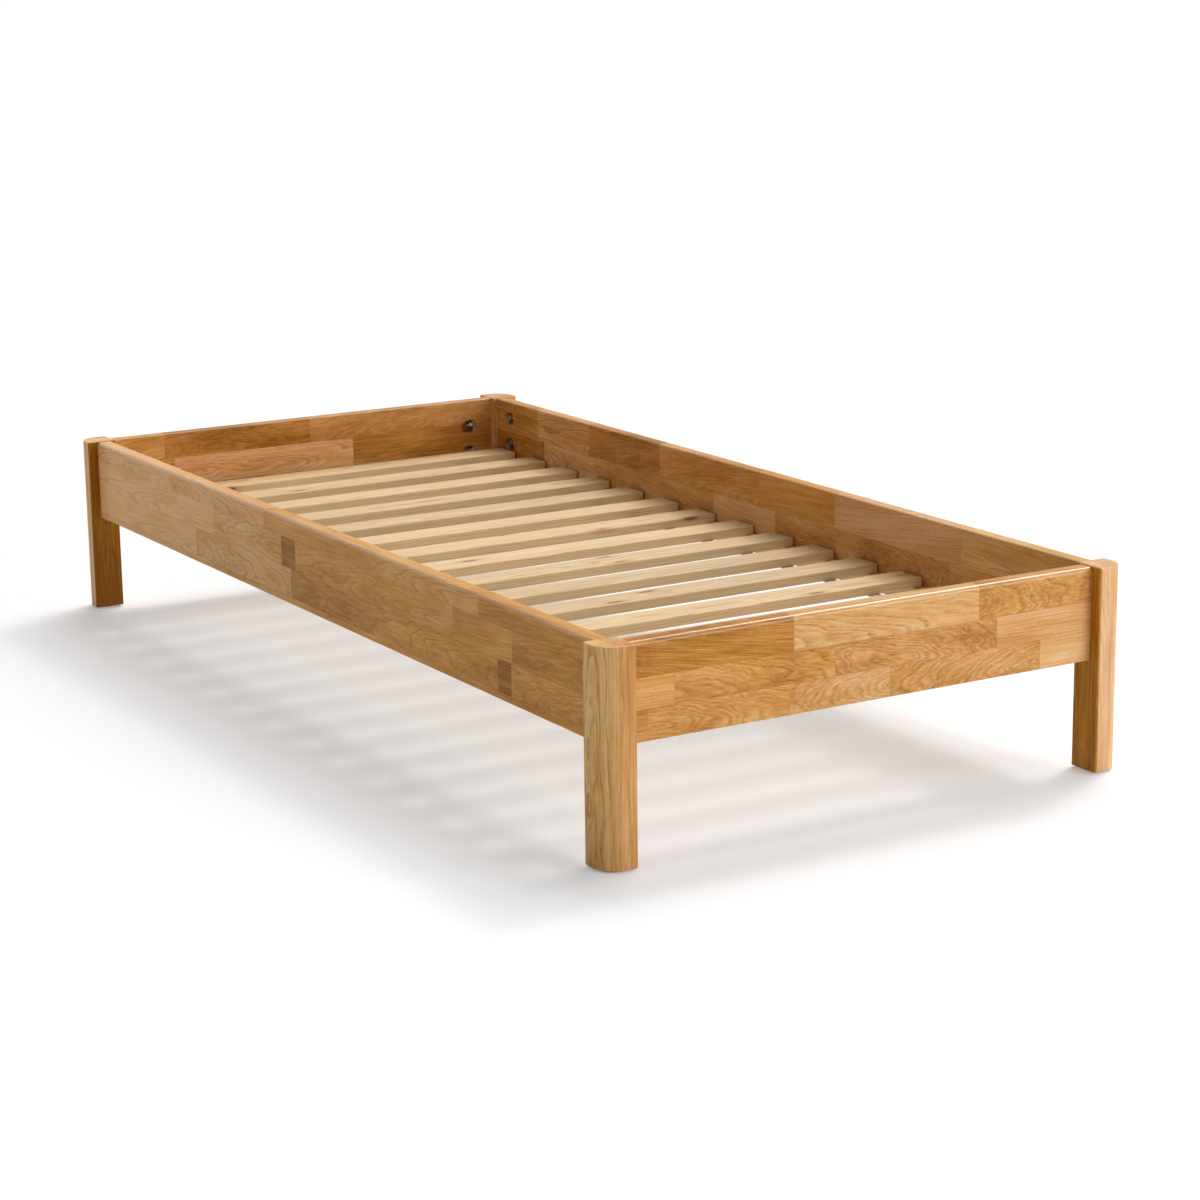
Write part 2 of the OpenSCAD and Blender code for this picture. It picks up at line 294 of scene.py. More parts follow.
def ramp(value, stops):
    """A colour ramp with its stops given as (position, colour)."""
    made = node(value.tree, "ShaderNodeValToRGB", {0: value})
    elements = made.socket.node.color_ramp.elements
    while len(elements) < len(stops):
        elements.new(1.0)
    for element, (place, _shade) in zip(elements, stops):
        element.position = place
    for element, (_place, shade) in zip(elements, stops):
        element.color = opaque(shade)
    return made


def attribute(tree, name):
    """A named vector of the mesh, in a material."""
    return node(tree, "ShaderNodeAttribute", output="Vector", attribute_name=name)


def object_position(tree):
    """The place on the piece, in a material."""
    return node(tree, "ShaderNodeTexCoord", output="Object")


def new_tree(kind, name, inputs):
    """A node tree with named inputs, and what they give."""
    tree = bpy.data.node_groups.new(name, kind)
    for label, (socket_type, default) in inputs.items():
        socket = tree.interface.new_socket(label, in_out="INPUT", socket_type=socket_type)
        if default is not None:
            socket.default_value = default
    given = {socket.name: Value(socket) for socket in tree.nodes.new("NodeGroupInput").outputs}
    return tree, given


def close(tree, results, socket_type=FLOAT):
    """Ends a node tree with its named results."""
    for label in results:
        tree.interface.new_socket(label, in_out="OUTPUT", socket_type=socket_type)
    plug(tree.nodes.new("NodeGroupOutput"), results)
    lay_out(tree)
    return tree


def lay_out(tree):
    """Places the nodes in columns from their outputs back to their inputs."""
    column = {n.name: 0 for n in tree.nodes}
    pending = [n for n in tree.nodes if not any(s.is_linked for s in n.outputs)]
    while pending:
        n = pending.pop()
        for link in [link for s in n.inputs for link in s.links]:
            if column[link.from_node.name] < column[n.name] + 1:
                column[link.from_node.name] = column[n.name] + 1
                pending.append(link.from_node)
    filled = dict.fromkeys(column.values(), 0)
    for n in tree.nodes:
        place = column[n.name]
        n.location = (-240 * place, -220 * filled[place])
        filled[place] += 1


def built_once(kind, name):
    """Makes a maker function give what it already made under its name, if it did."""

    def wrap(make):
        def get():
            return getattr(bpy.data, kind).get(name) or make(name)

        get.__doc__ = make.__doc__
        return get

    return wrap


# ---------- Shader groups ----------


@built_once("node_groups", "Year Rings")
def year_rings(name):
    """Year rings about the log's heart, which runs along the position's X axis."""
    tree, given = new_tree(
        "ShaderNodeTree", name,
        {"Position": (VECTOR, None), "Ring Spacing": (FLOAT, 0.003), "Wander": (FLOAT, 0.5)},
    )
    position, wander = given["Position"], given["Wander"]
    sway = noise(position, (4.5, 9.0, 9.0), 0.0, output="Color") - 0.5
    bent = position + sway * (wander * 0.026)
    eyes = node(
        tree, "ShaderNodeTexVoronoi",
        {"Vector": position * (2.8, 11.0, 11.0), "Smoothness": 1.0},
        "Distance", feature="SMOOTH_F1",
    )
    swell = steps(eyes, 0.0, 0.8, 1.0, 0.0) * (wander * 0.008)
    ripple = (noise(position, (14.0, 60.0, 60.0), 1.0) - 0.5) * 0.0022
    radius = calc("LENGTH", bent * (0.0, 1.0, 1.0)) + swell + ripple
    season = node(
        tree, "ShaderNodeTexNoise", {"W": radius, "Scale": 70.0, "Detail": 1.0},
        noise_dimensions="1D",
    )
    spacing = given["Ring Spacing"] * (wander * 0.45 + 0.65)
    count = radius / spacing + season * 2.6
    strength = node(
        tree, "ShaderNodeTexWhiteNoise", {"W": calc("FLOOR", count)}, "Value",
        noise_dimensions="1D",
    )
    profile = ramp(
        calc("FRACT", count),
        [
            (place, (dark, dark, dark))
            for place, dark in (
                (0.0, 0.4), (0.14, 1.0), (0.34, 0.7), (0.6, 0.25), (0.85, 0.0), (1.0, 0.4)
            )
        ],
    )
    return close(tree, {"Line": (strength * 0.7 + 0.3) * profile})


@built_once("node_groups", "Wood Fibres")
def wood_fibres(name):
    """Streaks along the grain, coarse and fine, and slow clouds of tone."""
    tree, given = new_tree("ShaderNodeTree", name, {"Position": (VECTOR, None)})
    results = {
        "Streaks": noise(given["Position"], (8.0, 240.0, 240.0), 3.0, 0.6),
        "Fine": noise(given["Position"], (40.0, 1500.0, 1500.0), 2.0, 0.6),
        "Clouds": noise(given["Position"], (4.0, 26.0, 26.0)),
    }
    return close(tree, results)


@built_once("node_groups", "Oak Pores")
def oak_pores(name):
    """Long open pores of oak's early wood, and the flecks of its rays."""
    tree, given = new_tree(
        "ShaderNodeTree", name, {"Position": (VECTOR, None), "Line": (FLOAT, 0.5)}
    )
    position, line = given["Position"], given["Line"]
    gaps = noise(position, (38.0, 520.0, 520.0), 3.0, 0.65)
    dashes = noise(position, (150.0, 2600.0, 2600.0), 1.0)
    closed_share = line * -0.16 + 0.66
    along, up, inward = split(position)
    radius = calc("LENGTH", position * (0.0, 1.0, 1.0))
    turn = calc("ARCTAN2", inward, up)
    ray_place = join(tree, along * 70.0, radius * 30.0, turn * 70.0)
    rays = node(
        tree, "ShaderNodeTexNoise", {"Vector": ray_place, "Scale": 1.0, "Detail": 1.0}
    )
    results = {
        "Pores": clamped((dashes - closed_share) * 12.0),
        "Flecks": steps(rays, 0.6, 0.72),
        "Broken Line": line * steps(gaps, 0.36, 0.62, 0.3, 1.0),
    }
    return close(tree, results)


@built_once("node_groups", "Glue Lines")
def glue_lines(name):
    """The thin dark line where two staves are glued."""
    tree, given = new_tree(
        "ShaderNodeTree", name,
        {"Place": (VECTOR, None), "Half Size": (VECTOR, None), "Width": (FLOAT, 0.0007)},
    )
    to_end, to_side, _depth = split(given["Half Size"] - calc("ABSOLUTE", given["Place"]))
    nearest = calc("MINIMUM", to_end, to_side)
    return close(tree, {"Line": steps(nearest, 0.0, given["Width"], 1.0, 0.0)})


@built_once("node_groups", "Plating Scuffs")
def plating_scuffs(name):
    """Fine scratches and dull clouds on plated steel."""
    tree, given = new_tree("ShaderNodeTree", name, {"Position": (VECTOR, None)})
    results = {
        "Dull": noise(given["Position"], (420.0, 420.0, 420.0), 3.0, 0.6),
        "Scratch": noise(given["Position"], (300.0, 2600.0, 5200.0), 2.0, 0.6),
    }
    return close(tree, results)


def use_group(tree, group, inputs):
    """Places a shader group in a tree and gives its results by name."""
    made = tree.nodes.new("ShaderNodeGroup")
    made.node_tree = group
    plug(made, inputs)
    return {socket.name: Value(socket) for socket in made.outputs}


# ---------- Materials ----------

OAK_PORE = linear("7a4416")
OAK_GLUE = linear("6e431c")
# Casts of oak by the number that a stave gives: amber, olive, honey, neutral, hazy and peach. The
# amber end colours the painted shade of two legs' thin skins
OAK_CASTS = [
    (0.00, (1.00, 0.900, 0.350)),
    (0.15, (0.93, 0.960, 0.980)),
    (0.30, (1.02, 0.950, 0.760)),
    (0.50, (1.00, 0.985, 1.060)),
    (0.70, (1.00, 0.981, 1.216)),
    (1.00, (1.06, 0.925, 0.860)),
]


def new_material(name):
    """A material with a Principled shader, and its node tree."""
    material = bpy.data.materials.new(name)
    material.use_nodes = True
    return material, material.node_tree


def finish_material(material, inputs):
    """Sets the inputs of a material's shader and lays out its nodes."""
    plug(material.node_tree.nodes["Principled BSDF"], inputs)
    lay_out(material.node_tree)
    return material


def bump(height, depth, strength):
    """Normals of a surface lifted by a height from 0 to 1 times a depth in metres."""
    inputs = {"Strength": strength, "Distance": depth, "Height": height}
    return node(height.tree, "ShaderNodeBump", inputs)


@built_once("materials", "Oiled Oak")
def oiled_oak(name):
    """Oak staves, each with its own figure and tone, under a satin oil finish."""
    oak = bpy.context.scene.bed_oak
    material, tree = new_material(name)
    grown = attribute(tree, "wood_pos")
    tone, cast, wander = split(attribute(tree, "stave_look"))
    rings = use_group(
        tree, year_rings(),
        {"Position": grown, "Ring Spacing": oak.ring_spacing, "Wander": wander},
    )
    fibres = use_group(tree, wood_fibres(), {"Position": grown})
    pores = use_group(tree, oak_pores(), {"Position": grown, "Line": rings["Line"]})
    glue = use_group(
        tree, glue_lines(),
        {"Place": attribute(tree, "stave_place"), "Half Size": attribute(tree, "stave_half")},
    )
    tone = (fibres["Clouds"] - 0.5) * 0.85 + tone
    tone = (fibres["Streaks"] - 0.5) * 0.9 + tone
    base = ramp(tone, [(0.0, oak.dark), (0.5, oak.golden), (1.0, oak.pale)])
    lines = pores["Broken Line"] * oak.line_strength * (wander * 0.9 + 0.22)
    base = blend(clamped(lines), base, oak.ring_line)
    base = blend(pores["Flecks"] * 0.08, base * ramp(cast, OAK_CASTS), oak.pale)
    base = base * (fibres["Fine"] * 0.3 + 0.85)
    base = blend(pores["Pores"] * 0.3, base, OAK_PORE)
    base = blend(glue["Line"] * 0.35, base, OAK_GLUE)
    facing_up = split(node(tree, "ShaderNodeNewGeometry", output="Normal"))[Z]
    arris = steps(facing_up, 0.1, 0.35) * steps(facing_up, 0.92, 0.99, 1.0, 0.0)
    rough = fibres["Streaks"] * 0.12 + (oak.roughness - 0.06)
    height = pores["Pores"] * -0.7 + fibres["Fine"] * 0.3
    return finish_material(
        material,
        {
            "Base Color": base,
            "Roughness": pores["Pores"] * 0.2 + rough,
            "Specular IOR Level": oak.gloss,
            "Coat Weight": arris * (oak.arris_polish - oak.film) + oak.film,
            "Coat Roughness": oak.film_roughness,
            "Normal": bump(height, 0.15 * MM, 0.6),
        },
    )


def soft_wood(name, body, late_wood, ring_spacing, knot=None):
    """Planed wood with lines of late wood and, if they have a colour, knots."""
    material, tree = new_material(name)
    grown = attribute(tree, "wood_pos")
    tint = split(attribute(tree, "board_look"))[0]
    rings = use_group(
        tree, year_rings(), {"Position": grown, "Ring Spacing": ring_spacing, "Wander": 0.35}
    )
    fibres = use_group(tree, wood_fibres(), {"Position": grown})
    tone = fibres["Clouds"] * 0.3 + 0.72 + tint * 0.16 + (fibres["Streaks"] - 0.5) * 0.16
    base = blend(rings["Line"] * 0.7, body, late_wood) * tone
    if knot is not None:
        cells = node(
            tree, "ShaderNodeTexVoronoi",
            {"Vector": grown * (4.2, 15.0, 15.0), "Scale": 1.0}, "Distance",
        )
        base = blend(steps(cells, 0.07, 0.2, 1.0, 0.0) * 0.55, base, late_wood)
        base = blend(steps(cells, 0.05, 0.09, 1.0, 0.0) * 0.85, base, knot)
    height = rings["Line"] * 0.5 + fibres["Fine"] * 0.5
    return finish_material(
        material,
        {
            "Base Color": base,
            "Roughness": fibres["Fine"] * 0.14 + 0.52,
            "Normal": bump(height, 0.12 * MM, 0.6),
        },
    )


@built_once("materials", "Planed Pine")
def planed_pine(name):
    """Pine of the slats and ledgers."""
    base = bpy.context.scene.bed_base
    return soft_wood(name, base.pine, base.pine_line, base.ring_spacing, base.knot)


@built_once("materials", "Turned Beech")
def turned_beech(name):
    """Beech of the dowels."""
    beech = bpy.context.scene.bed_fittings.beech
    return soft_wood(name, beech, [0.7 * channel for channel in beech], 2.2 * MM)


def plated_steel(name, plate):
    """Zinc-plated steel with dull clouds and fine scratches."""
    material, tree = new_material(name)
    scuffs = use_group(tree, plating_scuffs(), {"Position": object_position(tree)})
    return finish_material(
        material,
        {
            "Base Color": shaded(plate, scuffs["Dull"] * 0.35 + 0.78),
            "Roughness": scuffs["Dull"] * 0.25 + 0.2,
            "Metallic": 1.0,
            "Normal": bump(scuffs["Scratch"], 0.04 * MM, 0.5),
        },
    )


@built_once("materials", "Bright Zinc Steel")
def bright_zinc(name):
    """Plating of studs, washers, nuts, staples and glide nails."""
    return plated_steel(name, bpy.context.scene.bed_fittings.zinc)


@built_once("materials", "Yellow Zinc Steel")
def yellow_zinc(name):
    """Plating of the inserts and the ledger screws."""
    return plated_steel(name, bpy.context.scene.bed_fittings.yellow_zinc)


@built_once("materials", "Woven Cotton")
def woven_cotton(name):
    """Cotton webbing: yarns that cross over and under, a little soiled along the middle."""
    base = bpy.context.scene.bed_base
    material, tree = new_material(name)
    position = object_position(tree)
    across, along, _up = split(position)
    turn = 4 * math.pi / base.rib_pitch
    weave = calc("SINE", along * turn) * calc("SINE", across * turn) * 0.5 + 0.5
    lint = noise(position, (900.0, 900.0, 900.0), 3.0, 0.7)
    soil = noise(position, (14.0, 5.0, 14.0))
    return finish_material(
        material,
        {
            "Base Color": shaded(base.webbing, weave * 0.22 + 0.76 + lint * 0.12 - soil * 0.12),
            "Roughness": lint * 0.1 + 0.82,
            "Sheen Weight": 0.25,
            "Normal": bump(lint * 0.3 + weave, 0.15 * MM, 0.8),
        },
    )


@built_once("materials", "Pressed Felt")
def pressed_felt(name):
    """Brown wool felt of the glides."""
    material, tree = new_material(name)
    position = object_position(tree)
    wool = noise(position, (1400.0, 1400.0, 1400.0), 4.0, 0.75)
    clumps = noise(position, (220.0, 220.0, 220.0))
    felt = bpy.context.scene.bed_fittings.felt
    return finish_material(
        material,
        {
            "Base Color": shaded(felt, wool * 0.6 + clumps * 0.5 + 0.45),
            "Roughness": wool * 0.08 + 0.9,
            "Sheen Weight": 0.4,
            "Normal": bump(wool, 0.4 * MM, 0.9),
        },
    )


# ---------- Meshes ----------


def add_object(name, mesh):
    """A new object at the origin."""
    made = bpy.data.objects.new(name, mesh)
    bpy.context.scene.collection.objects.link(made)
    return made


def from_bmesh(bm, name, material=None):
    """An object with a finished bmesh as its mesh."""
    mesh = bpy.data.meshes.new(name)
    bm.to_mesh(mesh)
    bm.free()
    if material:
        mesh.materials.append(material)
    return add_object(name, mesh)


def apply_modifiers(piece):
    """Replaces a piece's mesh and modifiers by the mesh that they make."""
    bpy.context.view_layer.update()
    graph = bpy.context.evaluated_depsgraph_get()
    mesh = bpy.data.meshes.new_from_object(piece.evaluated_get(graph))
    piece.modifiers.clear()
    old = piece.data
    piece.data = mesh
    bpy.data.meshes.remove(old)
    mesh.name = piece.name
    return piece


def smooth(mesh, limit=35.0):
    """Smooth faces with sharp edges where the surface turns by more than a limit in degrees."""
    mesh.polygons.foreach_set("use_smooth", [True] * len(mesh.polygons))
    mesh.set_sharp_from_angle(angle=math.radians(limit))


def ease_edges(piece, width, limit):
    """Rounds a piece's edges where its surface turns by more than a limit in degrees."""
    bevel = piece.modifiers.new("Eased Edges", "BEVEL")
    bevel.width = width
    bevel.segments = 2
    bevel.limit_method = "ANGLE"
    bevel.angle_limit = math.radians(limit)
    apply_modifiers(piece)


def even_normals(piece):
    """Smooths a piece and keeps its flat faces flat beside their rounded edges."""
    smooth(piece.data)
    modifier = piece.modifiers.new("Even Normals", "WEIGHTED_NORMAL")
    modifier.keep_sharp = True
    apply_modifiers(piece)


def seat(piece, body, nodes):
    """Hands a finished piece to the frame: what it rides on, its finish and what it stands for."""
    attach(piece, body)
    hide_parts(*nodes)


def merged_copy(node_name):
    """The CAD node's mesh with its loose triangles merged and its flat faces whole."""
    bm = bmesh.new()
    bm.from_mesh(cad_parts[node_name].data)
    bmesh.ops.remove_doubles(bm, verts=bm.verts, dist=1e-6)
    bmesh.ops.dissolve_limit(
        bm, angle_limit=math.radians(0.5), verts=bm.verts, edges=bm.edges, delimit={"MATERIAL"}
    )
    return bm


def is_sharp(edge, limit=50.0):
    """True if the two faces of an edge turn by more than a limit in degrees."""
    return len(edge.link_faces) == 2 and edge.calc_face_angle() > math.radians(limit)


def round_edges(bm, edges, width, segments=2):
    """Rounds chosen edges."""
    bmesh.ops.bevel(
        bm, geom=list(edges), offset=width, segments=segments, profile=0.5,
        affect="EDGES", clamp_overlap=True,
    )


def edges_on_plane(bm, axis, places):
    """The sharp edges that lie whole on one of some planes across an axis."""
    return [
        edge for edge in bm.edges
        if any(all(abs(v.co[axis] - p) < 1e-5 for v in edge.verts) for p in places)
        and is_sharp(edge)
    ]


def solids(node_name):
    """The lowest and highest corner of each separate solid in a CAD node."""
    bm = merged_copy(node_name)
    waiting = dict.fromkeys(bm.verts)
    boxes = []
    while waiting:
        group = [waiting.popitem()[0]]
        for vert in group:
            for edge in vert.link_edges:
                other = edge.other_vert(vert)
                if other in waiting:
                    del waiting[other]
                    group.append(other)
        low = Vector([min(v.co[i] for v in group) for i in range(3)])
        high = Vector([max(v.co[i] for v in group) for i in range(3)])
        boxes.append((low, high))
    bm.free()
    return sorted(boxes, key=lambda box: tuple(round(c, 4) for c in box[0]))


# ---------- Oak staves ----------

# One stave: where it ends, its tone from dark to pale, its cast as a place in OAK_CASTS, how far
# the board is turned in the log (0 shows flat-sawn flames on the face, 90 straight lines), how
# steeply the grain runs out of the board, and how much it wanders.
Stave = namedtuple("Stave", "end tone cast turn slope wander")

# Rows from the bottom up: the height of the row's top edge, and its staves from the low end
FOOT_RAIL_ROWS = [
    (0.245, [
        Stave(-0.419, 0.47, 0.45, 80, 0.02, 0.5),
        Stave(-0.158, 0.54, 0.40, 25, 0.20, 0.9),
        Stave(0.037, 0.58, 0.60, 5, -0.24, 0.6),
        Stave(0.343, 0.50, 0.55, 15, -0.26, 0.8),
        Stave(0.450, 0.66, 0.55, 85, 0.00, 0.2),
    ]),
    (0.296, [
        Stave(-0.370, 0.64, 0.36, 70, 0.04, 0.4),
        Stave(-0.070, 0.46, 0.40, 10, 0.15, 0.9),
        Stave(0.252, 0.44, 0.60, 20, 0.26, 0.9),
        Stave(0.450, 0.62, 0.66, 65, 0.03, 0.4),
    ]),
    (0.354, [
        Stave(-0.150, 0.22, 0.30, 70, 0.14, 0.9),
        Stave(0.215, 0.62, 0.50, 20, 0.09, 0.6),
        Stave(0.450, 0.42, 0.46, 5, 0.26, 0.7),
    ]),
]
LEFT_RAIL_ROWS = [
    (0.207, [
        Stave(-0.520, 0.44, 0.30, 50, 0.02, 0.3),
        Stave(-0.080, 0.50, 0.30, 45, 0.03, 0.3),
        Stave(0.420, 0.54, 0.39, 40, 0.00, 0.2),
        Stave(0.790, 0.71, 0.98, 40, 0.02, 0.15),
        Stave(1.000, 0.88, 1.00, 30, 0.02, 0.10),
    ]),
    (0.262, [
        Stave(-0.745, 0.46, 0.30, 15, 0.12, 0.5),
        Stave(-0.702, 0.00, 0.45, 70, 0.05, 0.3),
        Stave(-0.258, 0.49, 0.30, 10, 0.09, 0.6),
        Stave(0.070, 0.31, 0.39, 15, 0.08, 0.5),
        Stave(0.500, 0.68, 0.42, 10, -0.12, 0.6),
        Stave(0.850, 0.91, 1.00, 25, 0.05, 0.15),
        Stave(1.000, 0.98, 1.00, 30, -0.10, 0.2),
    ]),
    (0.317, [
        Stave(-0.750, 0.36, 0.32, 20, 0.10, 0.4),
        Stave(-0.552, 0.46, 0.32, 40, 0.08, 0.5),
        Stave(0.050, 0.54, 0.32, 15, 0.08, 0.5),
        Stave(0.107, 0.00, 0.46, 75, 0.02, 0.3),
        Stave(0.410, 0.74, 0.42, 10, 0.07, 0.5),
        Stave(0.590, 0.92, 0.99, 35, 0.03, 0.15),
        Stave(1.000, 1.00, 1.00, 20, 0.05, 0.2),
    ]),
    (0.354, [
        Stave(-0.640, 0.40, 0.33, 25, 0.08, 0.4),
        Stave(-0.260, 0.57, 0.33, 10, 0.08, 0.5),
        Stave(0.180, 0.54, 0.38, 40, 0.04, 0.3),
        Stave(0.620, 0.78, 0.96, 15, -0.10, 0.4),
        Stave(1.000, 0.88, 0.95, 20, 0.10, 0.3),
    ]),
]

# Layers of a leg, from its outer face inwards: a foot leg's run from side to side, and a head leg's
# from end to end. The thin, dark amber last layer of leg_foot_right and of leg_head_left is no
# lamella but painted shade on the face that it covers
LEG_LAYERS = {
    "leg_foot_left": [
        Stave(0.015, 0.82, 0.29, 90, 0.03, 0.8),
        Stave(0.030, 0.68, 0.18, 40, 0.02, 0.3),
        Stave(0.046, 0.52, 0.69, 10, 0.00, 0.2),
        Stave(0.060, 0.48, 0.72, 15, 0.01, 0.2),
    ],
    "leg_foot_right": [
        Stave(0.018, 0.80, 0.76, 15, 0.01, 0.2),
        Stave(0.034, 0.76, 0.70, 10, 0.00, 0.2),
        Stave(0.055, 0.86, 0.70, 15, 0.02, 0.2),
        # A 5 mm dark amber skin on the inner face, which faces the other foot leg: painted shade
        Stave(0.060, 0.24, 0.02, 85, 0.02, 0.6),
    ],
    "leg_head_left": [
        Stave(0.020, 0.80, 0.75, 85, 0.01, 0.4),
        Stave(0.040, 0.92, 0.95, 80, 0.00, 0.3),
        Stave(0.056, 0.96, 1.00, 80, 0.02, 0.4),
        # A 4 mm dark amber skin on the face towards the foot end: painted shade
        Stave(0.060, 0.07, 0.01, 90, 0.03, 0.7),
    ],
    "leg_head_right": [
        Stave(0.020, 0.55, 0.50, 85, 0.01, 0.5),
        Stave(0.040, 0.68, 0.45, 80, 0.00, 0.3),
        Stave(0.060, 0.48, 0.60, 90, 0.03, 0.7),
    ],
}

# A stave's chance place in its log: how far from the heart, how far along, how many degrees round
PITH_NEAR, PITH_FAR = 0.035, 0.075
LOG_LENGTH = 50
TURN_PLAY = 4

# Chance staves: the length of a row's first one, of the next ones, and the least that may be left
FIRST_STAVE = (0.1, 0.4)
NEXT_STAVE = (0.2, 0.48)
LEAST_STAVE = 0.08


def chance_rows(low, high, row_tops, seed):
    """Rows of staves of chance lengths and looks for a rail."""
    chance = random.Random(seed)
    rows = []
    for top in row_tops:
        staves = []
        place = low + chance.uniform(*FIRST_STAVE)
        while place < high - LEAST_STAVE:
            staves.append(chance_stave(chance, place))
            place += chance.uniform(*NEXT_STAVE)
        staves.append(chance_stave(chance, high))
        rows.append((top, staves))
    return rows


def chance_stave(chance, end):
    """A stave of chance look."""
    return Stave(
        end,
        tone=chance.triangular(0.1, 0.9, 0.5),
        cast=chance.uniform(0.2, 0.8),
        turn=chance.choice([5, 15, 30, 60, 75, 85]),
        slope=chance.uniform(-0.18, 0.18),
        wander=chance.uniform(0.3, 1.0),
    )


def cut_across(bm, axis, place, faces):
    """Cuts some faces where a coordinate has a given value."""
    edges = dict.fromkeys(edge for face in faces for edge in face.edges)
    verts = dict.fromkeys(vert for face in faces for vert in face.verts)
    normal = Vector((0, 0, 0))
    normal[axis] = 1.0
    bmesh.ops.bisect_plane(
        bm, geom=[*faces, *edges, *verts], dist=1e-6, plane_co=normal * place, plane_no=normal
    )
    # A cut leaves the faces in an order that varies, so they're put in that of their corners
    bm.verts.index_update()
    in_order = sorted(bm.faces, key=lambda face: [vert.index for vert in face.verts])
    rank = {face: number for number, face in enumerate(in_order)}
    bm.faces.sort(key=rank.get)


def glue_up(bm, grain, stack, low, high, rows, seed):
    """Cuts a mesh along its glue lines and writes where in its log each stave grew.

    grain is the axis along the staves, stack the axis across the rows. low and high are the
    block's corners, and rows its rows with the coordinate of each row's far edge. The outermost
    staves are taken to reach a little past the block, because its outer faces aren't glued.
    """
    depth = X + Y + Z - grain - stack
    row_edges = [low[stack] - MM, *(edge for edge, _staves in rows[:-1]), high[stack] + MM]
    blocks = []
    for (near, far), (_edge, staves) in zip(pairwise(row_edges), rows):
        ends = [low[grain] - MM, *(stave.end for stave in staves[:-1]), high[grain] + MM]
        blocks += [(stave, near, far, *span) for stave, span in zip(staves, pairwise(ends))]
    for edge in row_edges[1:-1]:
        cut_across(bm, stack, edge, list(bm.faces))
    for _stave, near, far, _start, end in blocks:
        if end < high[grain]:
            in_row = [f for f in bm.faces if near < f.calc_center_median()[stack] < far]
            cut_across(bm, grain, end, in_row)
    grown = bm.loops.layers.float_vector.new("wood_pos")
    place = bm.loops.layers.float_vector.new("stave_place")
    half = bm.faces.layers.float_vector.new("stave_half")
    look = bm.faces.layers.float_vector.new("stave_look")
    chance = random.Random(seed)
    middle_depth = (low[depth] + high[depth]) / 2
    for stave, near, far, start, end in blocks:
        turn = math.radians(stave.turn + chance.uniform(-TURN_PLAY, TURN_PLAY))
        pith = chance.uniform(PITH_NEAR, PITH_FAR)
        shift = chance.uniform(0, LOG_LENGTH)
        for face in bm.faces:
            centre = face.calc_center_median()
            if not (near <= centre[stack] < far and start <= centre[grain] < end):
                continue
            face[half] = ((end - start) / 2, (far - near) / 2, 1.0)
            face[look] = (stave.tone, stave.cast, stave.wander)
            for loop in face.loops:
                along = loop.vert.co[grain] - (start + end) / 2
                up = loop.vert.co[stack] - (near + far) / 2
                inward = loop.vert.co[depth] - middle_depth
                p = math.cos(turn) * inward + math.sin(turn) * up + pith + stave.slope * along
                q = math.cos(turn) * up - math.sin(turn) * inward
                loop[grown] = (along + shift, p, q)
                loop[place] = (along, up, 0.0)


def finish_oak(bm, node_name):
    """Turns a glued-up bmesh into a piece of the bed frame."""
    piece = from_bmesh(bm, "oak_" + node_name, oiled_oak())
    even_normals(piece)
    seat(piece, FRAME_BODY, [node_name])


def make_leg(node_name):
    """A leg glued up from upright layers, with eased top and bottom edges."""
    low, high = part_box(node_name)
    bm = merged_copy(node_name)
    edges = edges_on_plane(bm, Z, (low.z, high.z))
    outline = [edge for edge in edges if not in_bore(edge, low, high)]
    round_edges(bm, outline, bpy.context.scene.bed_oak.leg_arris, 3)
    stack = X if node_name.startswith("leg_foot") else Y
    layers = LEG_LAYERS[node_name]
    if low[stack] < 0:
        rows = [(low[stack] + layer.end, [layer]) for layer in layers]
    else:
        depths = [0.0] + [layer.end for layer in layers]
        rows = [(high[stack] - depth, [layer]) for depth, layer in zip(depths, layers)][::-1]
    glue_up(bm, Z, stack, low, high, rows, node_name)
    finish_oak(bm, node_name)


def in_bore(edge, low, high):
    """True if an edge lies well inside the block's outline, on a drilled hole's rim."""
    middle = (edge.verts[0].co + edge.verts[1].co) / 2
    centre = (low + high) / 2
    return (middle.xy - centre.xy).length < 0.3 * (high.x - low.x)


def make_rail(node_name, grain, rows):
    """A rail glued up from rows of staves, with eased sawn ends and pocket rims."""
    low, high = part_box(node_name)
    bm = merged_copy(node_name)
    across = X if grain == Y else Y
    inner = min((low[across], high[across]), key=abs)
    edges = edges_on_plane(bm, grain, (low[grain], high[grain]))
    edges += edges_on_plane(bm, across, (inner,))
    round_edges(bm, dict.fromkeys(edges), bpy.context.scene.bed_oak.rail_arris)
    glue_up(bm, grain, Z, low, high, rows, node_name)
    finish_oak(bm, node_name)


# ---------- Repeated pieces ----------


def geometry_tree(name, inputs):
    """A geometry node tree with named inputs, and what they give."""
    tree, given = new_tree("GeometryNodeTree", name, inputs)
    tree.is_modifier = True
    return tree, given


def finish_tree(geometry, material):
    """Ends a geometry tree: makes its copies real and gives them their material."""
    tree = geometry.tree
    real = node(tree, "GeometryNodeRealizeInstances", {"Geometry": geometry})
    done = node(tree, "GeometryNodeSetMaterial", {"Geometry": real, "Material": material})
    return close(tree, {"Geometry": done}, GEOMETRY)


def grow(name, mesh, tree, values):
    """An object with a geometry node tree on it, with the tree's inputs set."""
    piece = add_object(name, mesh)
    modifier = piece.modifiers.new(tree.name, "NODES")
    modifier.node_group = tree
    for item in tree.interface.items_tree:
        if item.item_type == "SOCKET" and item.in_out == "INPUT" and item.name in values:
            modifier[item.identifier] = values[item.name]
    return piece


def straight(start, end):
    """A straight curve."""
    return node(start.tree, "GeometryNodeCurvePrimitiveLine", {"Start": start, "End": end})


